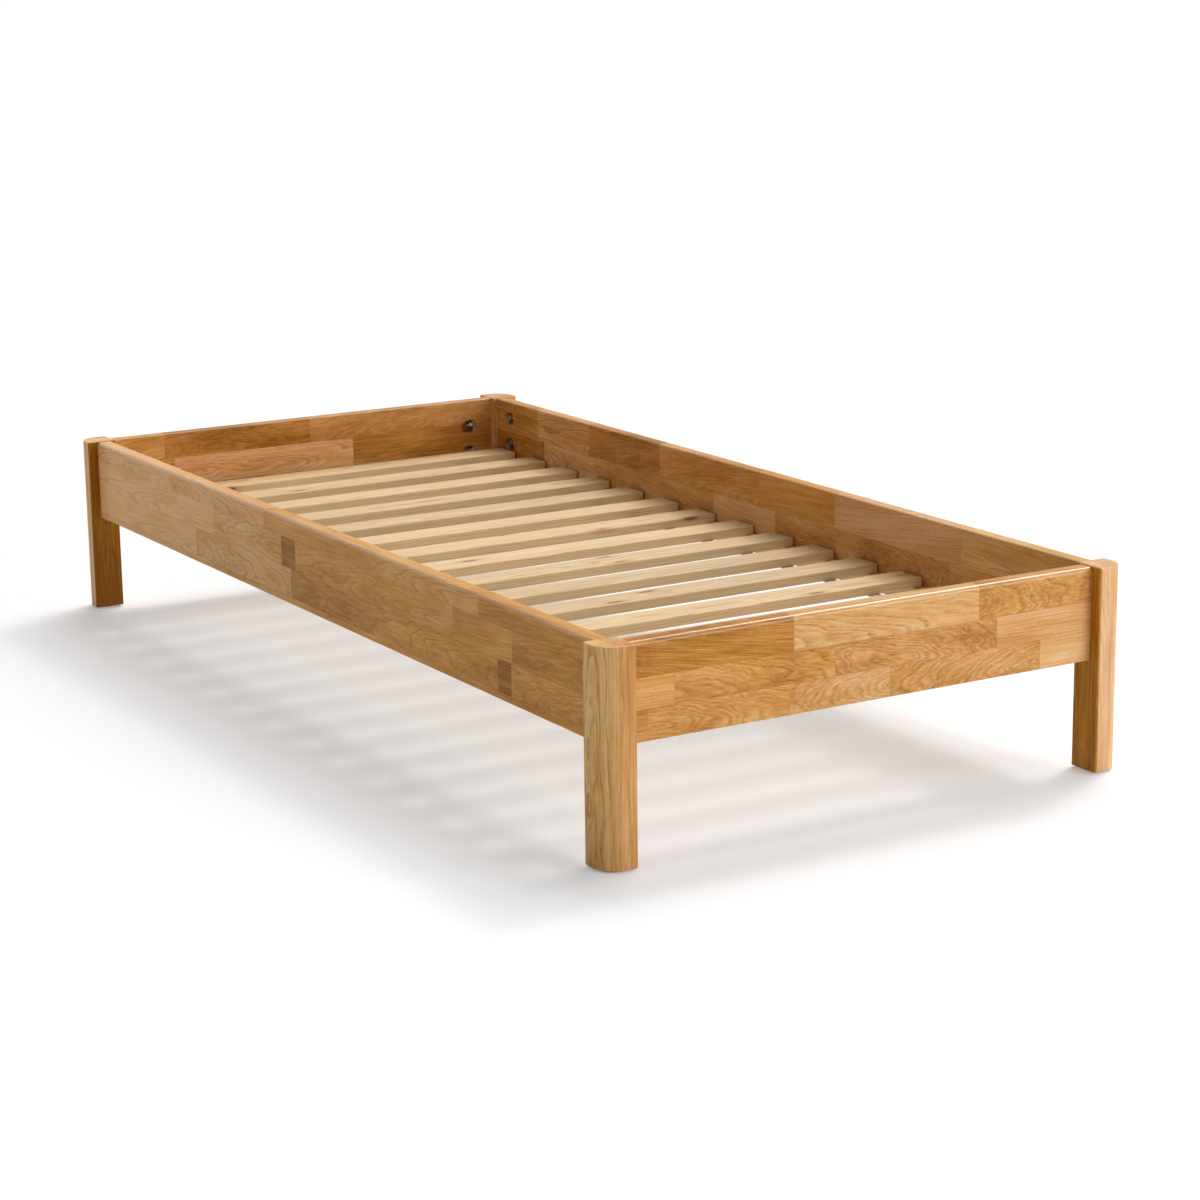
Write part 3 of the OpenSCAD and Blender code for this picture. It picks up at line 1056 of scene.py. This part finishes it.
def rectangle(width, height):
    """A rectangle as a curve."""
    inputs = {"Width": width, "Height": height}
    return node(width.tree, "GeometryNodeCurvePrimitiveQuadrilateral", inputs)


def fillet(curve, radius, count):
    """A curve with its corners rounded by a count of points."""
    inputs = {"Curve": curve, "Count": count, "Radius": radius}
    return node(curve.tree, "GeometryNodeFilletCurve", inputs, mode="POLY")


def sweep(path, outline):
    """An outline drawn along a path, with its ends closed."""
    inputs = {"Curve": path, "Profile Curve": outline, "Fill Caps": True}
    return node(path.tree, "GeometryNodeCurveToMesh", inputs)


def copy_to(points, shape, **inputs):
    """A copy of a shape on each point."""
    inputs = {"Points": points, "Instance": shape, **inputs}
    return node(points.tree, "GeometryNodeInstanceOnPoints", inputs)


def moved(geometry, offset):
    """A geometry with each of its points moved by an offset."""
    inputs = {"Geometry": geometry, "Offset": offset}
    return node(geometry.tree, "GeometryNodeSetPosition", inputs)


def chance_vector(seed, low, high):
    """A vector of chance numbers for each point or copy."""
    inputs = {"Min": low, "Max": high, "Seed": seed}
    return node(
        seed.tree, "FunctionNodeRandomValue", inputs, "Value", data_type="FLOAT_VECTOR"
    )


def store(geometry, name, value, domain="POINT"):
    """A geometry with a vector stored on it under a name."""
    inputs = {"Geometry": geometry, "Name": name, "Value": value}
    return node(
        geometry.tree, "GeometryNodeStoreNamedAttribute", inputs,
        data_type="FLOAT_VECTOR", domain=domain,
    )


def stored(tree, name):
    """A vector that was stored under a name."""
    return node(
        tree, "GeometryNodeInputNamedAttribute", {"Name": name}, "Attribute",
        data_type="FLOAT_VECTOR",
    )


# How far apart the slats' boards lie in their logs, and where they lie from the heart
BOARD_SPREAD = (40.0, 0.06, 0.05)
BOARD_OFFSET = (0.0, -0.03, 0.03)


def slats_tree():
    """A row of slats with rounded long edges. Each keeps its own place in its log."""
    tree, given = geometry_tree(
        "Row of Slats",
        {
            "Count": (INTEGER, 1), "Start": (VECTOR, None), "Step": (VECTOR, None),
            "Length": (FLOAT, 0.9), "Width": (FLOAT, 0.07), "Thickness": (FLOAT, 0.02),
            "Edge Radius": (FLOAT, 0.003), "Play": (FLOAT, 0.001), "Seed": (INTEGER, 7),
            "Material": (MATERIAL, None),
        },
    )
    half = given["Length"] * 0.5
    line = straight(join(tree, x=half * -1.0), join(tree, x=half))
    outline = fillet(rectangle(given["Width"], given["Thickness"]), given["Edge Radius"], 4)
    board = store(sweep(line, outline), "wood_pos", node(tree, "GeometryNodeInputPosition"))
    row = node(
        tree, "GeometryNodeMeshLine",
        {"Count": given["Count"], "Start Location": given["Start"], "Offset": given["Step"]},
        mode="OFFSET",
    )
    wobble = chance_vector(given["Seed"], (-1.0, -0.5, 0.0), (1.0, 0.5, 0.0))
    copies = copy_to(moved(row, wobble * given["Play"]), board)
    look = chance_vector(given["Seed"] + 5.0, (0.0, 0.0, 0.0), (1.0, 1.0, 1.0))
    copies = store(copies, "board_look", look, "INSTANCE")
    real = node(tree, "GeometryNodeRealizeInstances", {"Geometry": copies})
    in_log = stored(tree, "board_look") * BOARD_SPREAD + BOARD_OFFSET
    placed = store(real, "wood_pos", stored(tree, "wood_pos") + in_log)
    return finish_tree(placed, given["Material"])


def webbing_tree():
    """A flat strap along Y with ribs across it and smooth selvedges."""
    tree, given = geometry_tree(
        "Ribbed Strap",
        {
            "Middle": (VECTOR, None), "Length": (FLOAT, 1.9), "Width": (FLOAT, 0.025),
            "Thickness": (FLOAT, 0.0016), "Rib Pitch": (FLOAT, 0.0024),
            "Rib Height": (FLOAT, 0.0001), "Material": (MATERIAL, None),
        },
    )
    pitch, rib_height = given["Rib Pitch"], given["Rib Height"]
    half = given["Length"] * 0.5
    line = straight(join(tree, y=half * -1.0), join(tree, y=half))
    count = given["Length"] * 2.0 / pitch
    line = node(tree, "GeometryNodeResampleCurve", {"Curve": line, "Count": count})
    outline = rectangle(given["Width"], given["Thickness"] - rib_height * 2.0)
    outline = node(tree, "GeometryNodeSubdivideCurve", {"Curve": outline, "Cuts": 5})
    across, along, up = split(node(tree, "GeometryNodeInputPosition"))
    rib = calc("COSINE", along * (2 * math.pi) / pitch) * rib_height
    ribbed = calc("LESS_THAN", calc("ABSOLUTE", across), given["Width"] * 0.4)
    lift = join(tree, z=rib * ribbed * calc("SIGN", up)) + given["Middle"]
    return finish_tree(moved(sweep(line, outline), lift), given["Material"])


def staples_tree():
    """A wire staple with its legs up, on each point of the mesh that carries the tree."""
    tree, given = geometry_tree(
        "Staples",
        {
            "Geometry": (GEOMETRY, None), "Crown": (FLOAT, 0.012), "Height": (FLOAT, 0.015),
            "Wire": (FLOAT, 0.0012), "Corner Radius": (FLOAT, 0.0009),
            "Material": (MATERIAL, None),
        },
    )
    height, wire = given["Height"], given["Wire"]
    bent = rectangle(height - wire * 0.5, given["Crown"] - wire)
    bent = node(tree, "GeometryNodeSetSplineCyclic", {"Geometry": bent, "Cyclic": False})
    bent = fillet(bent, given["Corner Radius"], 3)
    upright = {
        "Geometry": bent, "Rotation": (math.pi / 2, -math.pi / 2, 0.0),
        "Translation": join(tree, z=height * 0.5 + wire * 0.25),
    }
    bent = node(tree, "GeometryNodeTransform", upright)
    section = node(
        tree, "GeometryNodeCurvePrimitiveCircle", {"Resolution": 6, "Radius": wire * 0.5}
    )
    return finish_tree(copy_to(given["Geometry"], sweep(bent, section)), given["Material"])


def fittings_tree():
    """A fitting on each point of the mesh, along the point's heading and turned by chance."""
    tree, given = geometry_tree(
        "Fittings",
        {
            "Geometry": (GEOMETRY, None), "Shape": (OBJECT, None), "Spin": (FLOAT, 0.0),
            "Seed": (INTEGER, 11), "Material": (MATERIAL, None),
        },
    )
    shape = node(tree, "GeometryNodeObjectInfo", {"Object": given["Shape"]}, "Geometry")
    heading = node(
        tree, "FunctionNodeAlignRotationToVector", {"Vector": stored(tree, "heading")}, axis="Z"
    )
    spin = node(
        tree, "FunctionNodeRandomValue", {"Max": given["Spin"], "Seed": given["Seed"]}, "Value",
        data_type="FLOAT",
    )
    about = node(
        tree, "FunctionNodeAxisAngleToRotation", {"Axis": (0.0, 0.0, 1.0), "Angle": spin}
    )
    turn = node(
        tree, "FunctionNodeRotateRotation", {"Rotation": heading, "Rotate By": about},
        rotation_space="LOCAL",
    )
    return finish_tree(copy_to(given["Geometry"], shape, Rotation=turn), given["Material"])


# ---------- Fittings ----------

# Where each solid of a CAD node starts, which way it points, its length and its width
Seats = namedtuple("Seats", "starts headings length width")
FULL_TURN = 2 * math.pi


def seats_of(node_name, axis_rule=max):
    """The seats of a CAD node's solids. Each points up or away from the bed's middle."""
    starts, headings = [], []
    for low, high in solids(node_name):
        size = high - low
        axis = axis_rule(range(3), key=lambda i: size[i])
        middle = (low + high) / 2
        heading = Vector((0, 0, 0))
        heading[axis] = 1.0 if axis == Z or middle[axis] > 0 else -1.0
        starts.append(middle - heading * size[axis] / 2)
        headings.append(heading)
    return Seats(starts, headings, size[axis], min(size[i] for i in range(3) if i != axis))


def on_circle(radius, turn, height):
    """A place at an angle about Z."""
    return (radius * math.cos(turn), radius * math.sin(turn), height)


def lathe(profile_at, sides, ring=False):
    """A mesh turned about Z. profile_at gives the (radius, height) points at an angle.

    A ring's profile is closed on itself; any other starts and ends on the axis.
    """
    bm = bmesh.new()
    grid = []
    for i in range(sides):
        turn = FULL_TURN * i / sides
        grid.append([bm.verts.new(on_circle(r, turn, z)) for r, z in profile_at(turn)])
    count = len(grid[0])
    for here, there in zip(grid, grid[1:] + grid[:1]):
        for j in range(count if ring else count - 1):
            k = (j + 1) % count
            bm.faces.new((here[j], there[j], there[k], here[k]))
    bmesh.ops.remove_doubles(bm, verts=bm.verts, dist=1e-7)
    bmesh.ops.dissolve_degenerate(bm, edges=bm.edges, dist=1e-7)
    if bm.calc_volume(signed=True) < 0:
        bmesh.ops.reverse_faces(bm, faces=bm.faces)
    return bm


def add_thread(bm, core, crest, start, end, pitch, sides=14):
    """A helical ridge round a core, which fades in and out over half a turn."""
    count = int((end - start) / pitch * sides)
    fade = sides / 2
    sunk = core - 0.1 * MM
    flank = 0.42 * pitch
    sections = []
    for i in range(count + 1):
        turn = FULL_TURN * i / sides
        z = start + pitch * i / sides
        top = core + (crest - core) * min(1.0, i / fade, (count - i) / fade)
        points = ((sunk, z - flank), (top, z), (sunk, z + flank))
        sections.append([bm.verts.new(on_circle(r, turn, h)) for r, h in points])
    bm.faces.new(sections[0])
    bm.faces.new(sections[-1][::-1])
    for here, there in zip(sections, sections[1:]):
        for j, k in ((0, 1), (1, 2), (2, 0)):
            bm.faces.new((here[k], here[j], there[j], there[k]))


def stud_shape(seats):
    """A threaded stud with chamfered ends."""
    pitch = bpy.context.scene.bed_fittings.stud_pitch
    crest, end = seats.width / 2, seats.length
    core, cut = crest - 0.6 * pitch, 0.8 * MM
    tip = core - cut / 2
    profile = [(0, 0), (tip, 0), (core, cut), (core, end - cut), (tip, end), (0, end)]
    bm = lathe(lambda turn: profile, 14)
    add_thread(bm, core, crest, cut, end - cut, pitch)
    return bm


def insert_shape(seats):
    """A threaded sleeve with a coarse outer thread for wood."""
    pitch = bpy.context.scene.bed_fittings.insert_pitch
    crest, end = seats.width / 2, seats.length
    core, bore, cut = crest - 1.0 * MM, crest - 1.9 * MM, 0.5 * MM
    profile = [
        (bore, cut), (bore + cut, 0), (core - cut, 0), (core, cut),
        (core, end - cut), (core - cut, end), (bore + cut, end), (bore, end - cut),
    ]
    bm = lathe(lambda turn: profile, 24, ring=True)
    lead_in = 0.75 * pitch
    add_thread(bm, core, crest, lead_in, end - lead_in, pitch, 20)
    return bm


def nut_shape(seats):
    """A hexagon nut with corners cut back by a cone at both faces."""
    flat, end = seats.width / 2, seats.length
    bore, cut = flat - 2.4 * MM, 0.4 * MM
    cone = math.tan(math.radians(30))

    def profile(turn):
        sector = (turn + math.pi / 6) % (math.pi / 3) - math.pi / 6
        corner = flat / math.cos(sector)
        drop = (corner - flat) * cone + 0.15 * MM
        return [
            (bore, cut), (bore + cut, 0), (flat - cut, 0), (corner, drop),
            (corner, end - drop), (flat - cut, end), (bore + cut, end), (bore, end - cut),
        ]

    return lathe(profile, 48, ring=True)


def dowel_shape(seats):
    """A fluted dowel with chamfered ends that keeps its place in its log."""
    radius, end, cut = seats.width / 2, seats.length, 1.2 * MM
    flutes, flute_depth = 24, 0.22 * MM

    def profile(turn):
        r = radius - flute_depth * (1 + math.cos(flutes * turn)) / 2
        return [(0, 0), (radius - cut, 0), (r, cut), (r, end - cut), (radius - cut, end), (0, end)]

    bm = lathe(profile, flutes * 4)
    grown = bm.verts.layers.float_vector.new("wood_pos")
    for vert in bm.verts:
        vert[grown] = (vert.co.z, vert.co.x + PITH_NEAR, vert.co.y)
    return bm


def screw_shape(seats):
    """A countersunk screw with a six-lobed recess, plain neck and coarse thread."""
    head, end = seats.width / 2, seats.length
    crest, core = head / 2, head / 2 - 0.6 * MM
    neck, ease, point = core + 0.3 * MM, 0.15 * MM, 5 * MM
    neck_end, core_start, thread_start = end * 0.38, end * 0.4, end * 0.42

    def profile(turn):
        lobe = head * (0.40 + 0.06 * math.cos(6 * turn))
        return [
            (0, 1.9 * MM), (lobe * 0.8, 1.7 * MM), (lobe, 0.1 * MM), (lobe + ease, 0),
            (head - ease, 0), (head, ease), (neck, head - crest + 0.5 * MM),
            (neck, neck_end), (core, core_start), (core, end - point), (0, end),
        ]

    bm = lathe(profile, 36)
    pitch = bpy.context.scene.bed_fittings.screw_pitch
    add_thread(bm, core, crest, thread_start, end - point, pitch, 16)
    return bm


def nail_shape(seats):
    """A glide's nail: a domed head below, and a shank with a point."""
    head, end = seats.width / 2, seats.length
    shank, head_height, point = 0.31 * head, 1.2 * MM, 2.5 * MM
    profile = [
        (0, 0), (0.5 * head, 0.08 * MM), (0.85 * head, 0.35 * MM), (head, 0.8 * MM),
        (0.97 * head, head_height), (shank, head_height), (shank, end - point), (0, end),
    ]
    return lathe(lambda turn: profile, 24)


def glide_shape(seats):
    """A felt disc with a soft, slightly uneven rim and a sunk hole for its nail."""
    radius, end = seats.width / 2, seats.length
    ease = bpy.context.scene.bed_fittings.glide_arris
    hole, sink, sink_depth = 1.2 * MM, 3.6 * MM, end * 2 / 3

    def profile(turn):
        rim = radius - 0.12 * MM * (2 + math.sin(5 * turn) + math.sin(13 * turn + 1))
        return [
            (hole, end), (rim - ease, end), (rim, end - ease), (rim, ease), (rim - ease, 0),
            (sink, 0), (sink, sink_depth), (hole, sink_depth),
        ]

    return lathe(profile, 72, ring=True)


def add_fittings(name, node_names, shape_of, material, spin=0.0, axis_rule=max):
    """Sets a copy of one shape on every solid of some like CAD nodes."""
    starts, headings = [], []
    for node_name in node_names:
        seats = seats_of(node_name, axis_rule)
        starts += seats.starts
        headings += seats.headings
    shape = from_bmesh(shape_of(seats), name + "_shape")
    smooth(shape.data, 32.0)
    points = bpy.data.meshes.new(name)
    points.from_pydata(starts, [], [])
    heading = points.attributes.new("heading", "FLOAT_VECTOR", "POINT")
    heading.data.foreach_set("vector", [c for h in headings for c in h])
    tree = bpy.data.node_groups.get("Fittings") or fittings_tree()
    values = {"Shape": shape, "Spin": spin, "Material": material}
    piece = apply_modifiers(grow(name, points, tree, values))
    bpy.data.objects.remove(shape)
    seat(piece, FRAME_BODY, node_names)


# ---------- Operators ----------


class BedOperator(bpy.types.Operator):
    """What the operators of the bed frame share."""

    bl_options = {"REGISTER", "UNDO"}


class BED_OT_legs(BedOperator):
    """Make the four legs, glued up from upright layers of oak"""

    bl_idname = "bed.legs"
    bl_label = "Legs"

    def execute(self, context):
        for node_name in LEG_LAYERS:
            make_leg(node_name)
        return {"FINISHED"}


class BED_OT_rails(BedOperator):
    """Make the four rails, glued up from oak staves"""

    bl_idname = "bed.rails"
    bl_label = "Rails"

    def execute(self, context):
        make_rail("foot_rail", X, FOOT_RAIL_ROWS)
        make_rail("side_rail_left", Y, LEFT_RAIL_ROWS)
        low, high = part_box("side_rail_right")
        rows = chance_rows(low.y, high.y, row_tops=(0.232, 0.286, high.z), seed=4)
        make_rail("side_rail_right", Y, rows)
        low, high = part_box("head_rail")
        rows = chance_rows(low.x, high.x, row_tops=(0.240, 0.301, high.z), seed=9)
        make_rail("head_rail", X, rows)
        return {"FINISHED"}


class BED_OT_ledgers(BedOperator):
    """Make the two pine ledgers that carry the slats"""

    bl_idname = "bed.ledgers"
    bl_label = "Ledgers"

    def execute(self, context):
        for number, node_name in enumerate(("ledger_left", "ledger_right")):
            self.make_ledger(node_name, number, context.scene.bed_base.ledger_arris)
        return {"FINISHED"}

    def make_ledger(self, node_name, number, arris):
        """A pine batten with eased sawn ends. Each numbered one comes from its own log."""
        low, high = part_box(node_name)
        along_log, tint = 60 + 7 * number, 0.3 + 0.4 * number
        bm = merged_copy(node_name)
        round_edges(bm, edges_on_plane(bm, Y, (low.y, high.y)), arris)
        grown = bm.verts.layers.float_vector.new("wood_pos")
        look = bm.verts.layers.float_vector.new("board_look")
        for vert in bm.verts:
            place = vert.co - (low + high) / 2
            vert[grown] = (place.y + along_log, place.x + PITH_NEAR, place.z + 0.01)
            vert[look] = (tint, 0.5, 0.5)
        piece = from_bmesh(bm, "pine_" + node_name, planed_pine())
        even_normals(piece)
        seat(piece, FRAME_BODY, [node_name])


class BED_OT_slats(BedOperator):
    """Make the slats of the roll-up base"""

    bl_idname = "bed.slats"
    bl_label = "Slats"

    def execute(self, context):
        base = context.scene.bed_base
        node_names = sorted(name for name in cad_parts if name.startswith("slat_"))
        boxes = [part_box(node_name) for node_name in node_names]
        middles = [(low + high) / 2 for low, high in boxes]
        size = boxes[0][1] - boxes[0][0]
        values = {
            "Count": len(boxes), "Start": middles[0], "Step": middles[1] - middles[0],
            "Length": size.x - 2 * base.slat_play, "Width": size.y, "Thickness": size.z,
            "Edge Radius": base.slat_edge, "Play": base.slat_play, "Material": planed_pine(),
        }
        piece = grow("pine_slats", bpy.data.meshes.new("pine_slats"), slats_tree(), values)
        ease_edges(piece, base.slat_arris, 60)
        even_normals(piece)
        seat(piece, BASE_BODY, node_names)
        return {"FINISHED"}


class BED_OT_webbing(BedOperator):
    """Make the two cotton straps that hold the slats apart"""

    bl_idname = "bed.webbing"
    bl_label = "Webbing"

    def execute(self, context):
        base = context.scene.bed_base
        tree = webbing_tree()
        for node_name in ("webbing_left", "webbing_right"):
            low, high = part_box(node_name)
            name = "cotton_" + node_name
            values = {
                "Middle": (low + high) / 2, "Length": high.y - low.y, "Width": high.x - low.x,
                "Thickness": high.z - low.z, "Rib Pitch": base.rib_pitch,
                "Rib Height": base.rib_height, "Material": woven_cotton(),
            }
            piece = apply_modifiers(grow(name, bpy.data.meshes.new(name), tree, values))
            smooth(piece.data, 60.0)
            seat(piece, BASE_BODY, [node_name])
        return {"FINISHED"}


class BED_OT_staples(BedOperator):
    """Make the staples that fasten the straps to the slats"""

    bl_idname = "bed.staples"
    bl_label = "Staples"

    def execute(self, context):
        boxes = solids("webbing_staples")
        feet = [(*((low + high) / 2).xy, low.z) for low, high in boxes]
        points = bpy.data.meshes.new("wire_staples")
        points.from_pydata(feet, [], [])
        size = boxes[0][1] - boxes[0][0]
        values = {"Crown": size.x, "Height": size.z, "Wire": size.y, "Material": bright_zinc()}
        piece = apply_modifiers(grow("wire_staples", points, staples_tree(), values))
        smooth(piece.data, 60.0)
        seat(piece, BASE_BODY, ["webbing_staples"])
        return {"FINISHED"}


class BED_OT_glides(BedOperator):
    """Make the felt glides under the legs"""

    bl_idname = "bed.glides"
    bl_label = "Felt Glides"

    def execute(self, context):
        node_names = [leg.replace("leg_", "glide_") for leg in LEG_LAYERS]
        add_fittings(
            "felt_glides", sorted(node_names), glide_shape, pressed_felt(),
            spin=FULL_TURN, axis_rule=min,
        )
        return {"FINISHED"}


class BED_OT_glide_nails(BedOperator):
    """Make the nails that hold the glides"""

    bl_idname = "bed.glide_nails"
    bl_label = "Glide Nails"

    def execute(self, context):
        add_fittings("round_nails", ["glide_nails"], nail_shape, bright_zinc())
        return {"FINISHED"}


class BED_OT_inserts(BedOperator):
    """Make the threaded inserts in the legs"""

    bl_idname = "bed.inserts"
    bl_label = "Threaded Inserts"

    def execute(self, context):
        add_fittings(
            "threaded_inserts", ["leg_inserts"], insert_shape, yellow_zinc(),
            spin=FULL_TURN,
        )
        return {"FINISHED"}


class BED_OT_studs(BedOperator):
    """Make the threaded studs that draw the rails to the legs"""

    bl_idname = "bed.studs"
    bl_label = "Studs"

    def execute(self, context):
        add_fittings(
            "threaded_studs", ["rail_studs"], stud_shape, bright_zinc(),
            spin=FULL_TURN,
        )
        return {"FINISHED"}


class BED_OT_washers(BedOperator):
    """Make the half-moon washers in the rails' pockets"""

    bl_idname = "bed.washers"
    bl_label = "Half-Moon Washers"

    def execute(self, context):
        piece = from_bmesh(merged_copy("half_moon_washers"), "plated_washers", bright_zinc())
        ease_edges(piece, context.scene.bed_fittings.washer_arris, 40)
        even_normals(piece)
        seat(piece, FRAME_BODY, ["half_moon_washers"])
        return {"FINISHED"}


class BED_OT_nuts(BedOperator):
    """Make the hexagon nuts on the studs"""

    bl_idname = "bed.nuts"
    bl_label = "Nuts"

    def execute(self, context):
        add_fittings(
            "hexagon_nuts", ["stud_nuts"], nut_shape, bright_zinc(),
            spin=FULL_TURN, axis_rule=min,
        )
        return {"FINISHED"}


class BED_OT_dowels(BedOperator):
    """Make the fluted dowels that keep the rails from turning"""

    bl_idname = "bed.dowels"
    bl_label = "Dowels"

    def execute(self, context):
        add_fittings("fluted_dowels", ["rail_dowels"], dowel_shape, turned_beech())
        return {"FINISHED"}


class BED_OT_ledger_screws(BedOperator):
    """Make the screws that hold the ledgers to the side rails"""

    bl_idname = "bed.ledger_screws"
    bl_label = "Ledger Screws"

    def execute(self, context):
        add_fittings(
            "countersunk_screws", ["ledger_screws"], screw_shape, yellow_zinc(),
            spin=FULL_TURN,
        )
        return {"FINISHED"}


WHITE = (1.0, 1.0, 1.0)


def add_lamp(name, kind, place, power):
    """A lamp that shines from a place towards the bed."""
    lamp = bpy.data.lights.new(name, kind)
    lamp.energy = power
    holder = add_object(name, lamp)
    holder.location = place
    sight = Vector((0, 0, 0.2)) - Vector(place)
    holder.rotation_euler = sight.to_track_quat("-Z", "Y").to_euler()
    return lamp


def seen_directly(tree):
    """1 for rays from the camera and for what is seen in metal or glass, and 0 for light."""
    rays = tree.nodes.new("ShaderNodeLightPath").outputs
    seen = calc("MAXIMUM", Value(rays["Is Camera Ray"]), Value(rays["Is Glossy Ray"]))
    return calc("MAXIMUM", seen, Value(rays["Is Transmission Ray"]))


def pale_floor(stage):
    """A matt floor that the camera sees as white where nothing shades it."""
    material, tree = new_material("Pale Floor")
    return finish_material(
        material,
        {
            "Base Color": stage.floor,
            "Roughness": 0.8,
            "Specular IOR Level": 0.1,
            "Emission Color": WHITE,
            "Emission Strength": seen_directly(tree) * stage.floor_glow,
        },
    )


class BED_OT_stage(BedOperator):
    """Set up the camera, the lamps, the white surroundings and the floor"""

    bl_idname = "bed.stage"
    bl_label = "Stage"

    def execute(self, context):
        stage = context.scene.bed_stage
        self.add_camera(context.scene, stage)
        self.add_floor(stage)
        self.light(context.scene, stage)
        return {"FINISHED"}

    def add_camera(self, scene, stage):
        """A camera that looks at the bed's foot end from its front left."""
        data = bpy.data.cameras.new("Camera")
        data.lens = stage.lens
        data.sensor_width = 36
        data.clip_end = 1000
        camera = add_object("Camera", data)
        az, el, roll = stage.azimuth, stage.elevation, stage.roll
        sight = Vector((-math.sin(az) * math.cos(el), math.cos(az) * math.cos(el), -math.sin(el)))
        level = Vector((math.cos(az), math.sin(az), 0))
        upright = level.cross(sight)
        right = math.cos(roll) * level + math.sin(roll) * upright
        up = math.cos(roll) * upright - math.sin(roll) * level
        turn = Matrix((right, up, -sight)).transposed()
        camera.matrix_world = Matrix.Translation(stage.place) @ turn.to_4x4()
        scene.camera = camera

    def add_floor(self, stage):
        """A wide flat floor under the glides."""
        half = stage.floor_size / 2
        mesh = bpy.data.meshes.new("floor")
        corners = [(-half, -half, 0), (half, -half, 0), (half, half, 0), (-half, half, 0)]
        mesh.from_pydata(corners, [], [(0, 1, 2, 3)])
        mesh.materials.append(pale_floor(stage))
        add_object("floor", mesh)

    def light(self, scene, stage):
        """A broad sun with a harder core, a softbox at the foot end and white surroundings."""
        key = add_lamp("Key", "SUN", (2.4, 1.6, 4.2), 0.8 * stage.key)
        key.angle = math.radians(45)
        core = add_lamp("Key Core", "SUN", (3.0, 1.5, 4.0), 0.2 * stage.key)
        core.angle = math.radians(9)
        softbox = add_lamp("Softbox", "AREA", (3.6, -5.4, 1.6), stage.softbox)
        softbox.shape = "RECTANGLE"
        softbox.size, softbox.size_y = 5.0, 3.0
        world = bpy.data.worlds.new("White Surroundings")
        world.use_nodes = True
        scene.world = world
        strength = steps(seen_directly(world.node_tree), 0.0, 1.0, stage.sky, 1.0)
        plug(world.node_tree.nodes["Background"], {"Color": WHITE, "Strength": strength})
        lay_out(world.node_tree)
        scene.view_settings.view_transform = "Standard"


class BED_PT_panel(bpy.types.Panel):
    """Sidebar panel with the bed frame's settings and operators."""

    bl_label = "Bed Frame"
    bl_idname = "BED_PT_panel"
    bl_space_type = "VIEW_3D"
    bl_region_type = "UI"
    bl_category = "Bed Frame"

    def draw(self, context):
        for operator in OPERATORS:
            self.layout.operator(operator.bl_idname)
        for name, group in SETTINGS.items():
            box = self.layout.box()
            box.label(text=group.bl_rna.description)
            for key in group.__annotations__:
                box.prop(getattr(context.scene, name), key)


OPERATORS = [
    BED_OT_legs, BED_OT_rails, BED_OT_ledgers, BED_OT_slats, BED_OT_webbing, BED_OT_staples,
    BED_OT_glides, BED_OT_glide_nails, BED_OT_inserts, BED_OT_studs, BED_OT_washers,
    BED_OT_nuts, BED_OT_dowels, BED_OT_ledger_screws, BED_OT_stage,
]


def register():
    """Registers the classes and gives the scene its settings."""
    for group in SETTINGS.values():
        bpy.utils.register_class(group)
    for name, group in SETTINGS.items():
        setattr(bpy.types.Scene, name, bpy.props.PointerProperty(type=group))
    for operator in OPERATORS:
        bpy.utils.register_class(operator)
    bpy.utils.register_class(BED_PT_panel)


def unregister():
    """Takes back what register did."""
    bpy.utils.unregister_class(BED_PT_panel)
    for operator in reversed(OPERATORS):
        bpy.utils.unregister_class(operator)
    for name, group in SETTINGS.items():
        delattr(bpy.types.Scene, name)
        bpy.utils.unregister_class(group)


def main():
    """Builds the bed frame and writes the boxes of the packed and of the finished model."""
    register()
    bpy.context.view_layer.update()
    bpy.ops.bed.legs()
    bpy.ops.bed.rails()
    bpy.ops.bed.ledgers()
    bpy.ops.bed.slats()
    bpy.ops.bed.webbing()
    bpy.ops.bed.staples()
    bpy.ops.bed.glides()
    bpy.ops.bed.glide_nails()
    bpy.ops.bed.inserts()
    bpy.ops.bed.studs()
    bpy.ops.bed.washers()
    bpy.ops.bed.nuts()
    bpy.ops.bed.dowels()
    bpy.ops.bed.ledger_screws()
    bpy.ops.bed.stage()


if __name__ == "__main__":
    main()
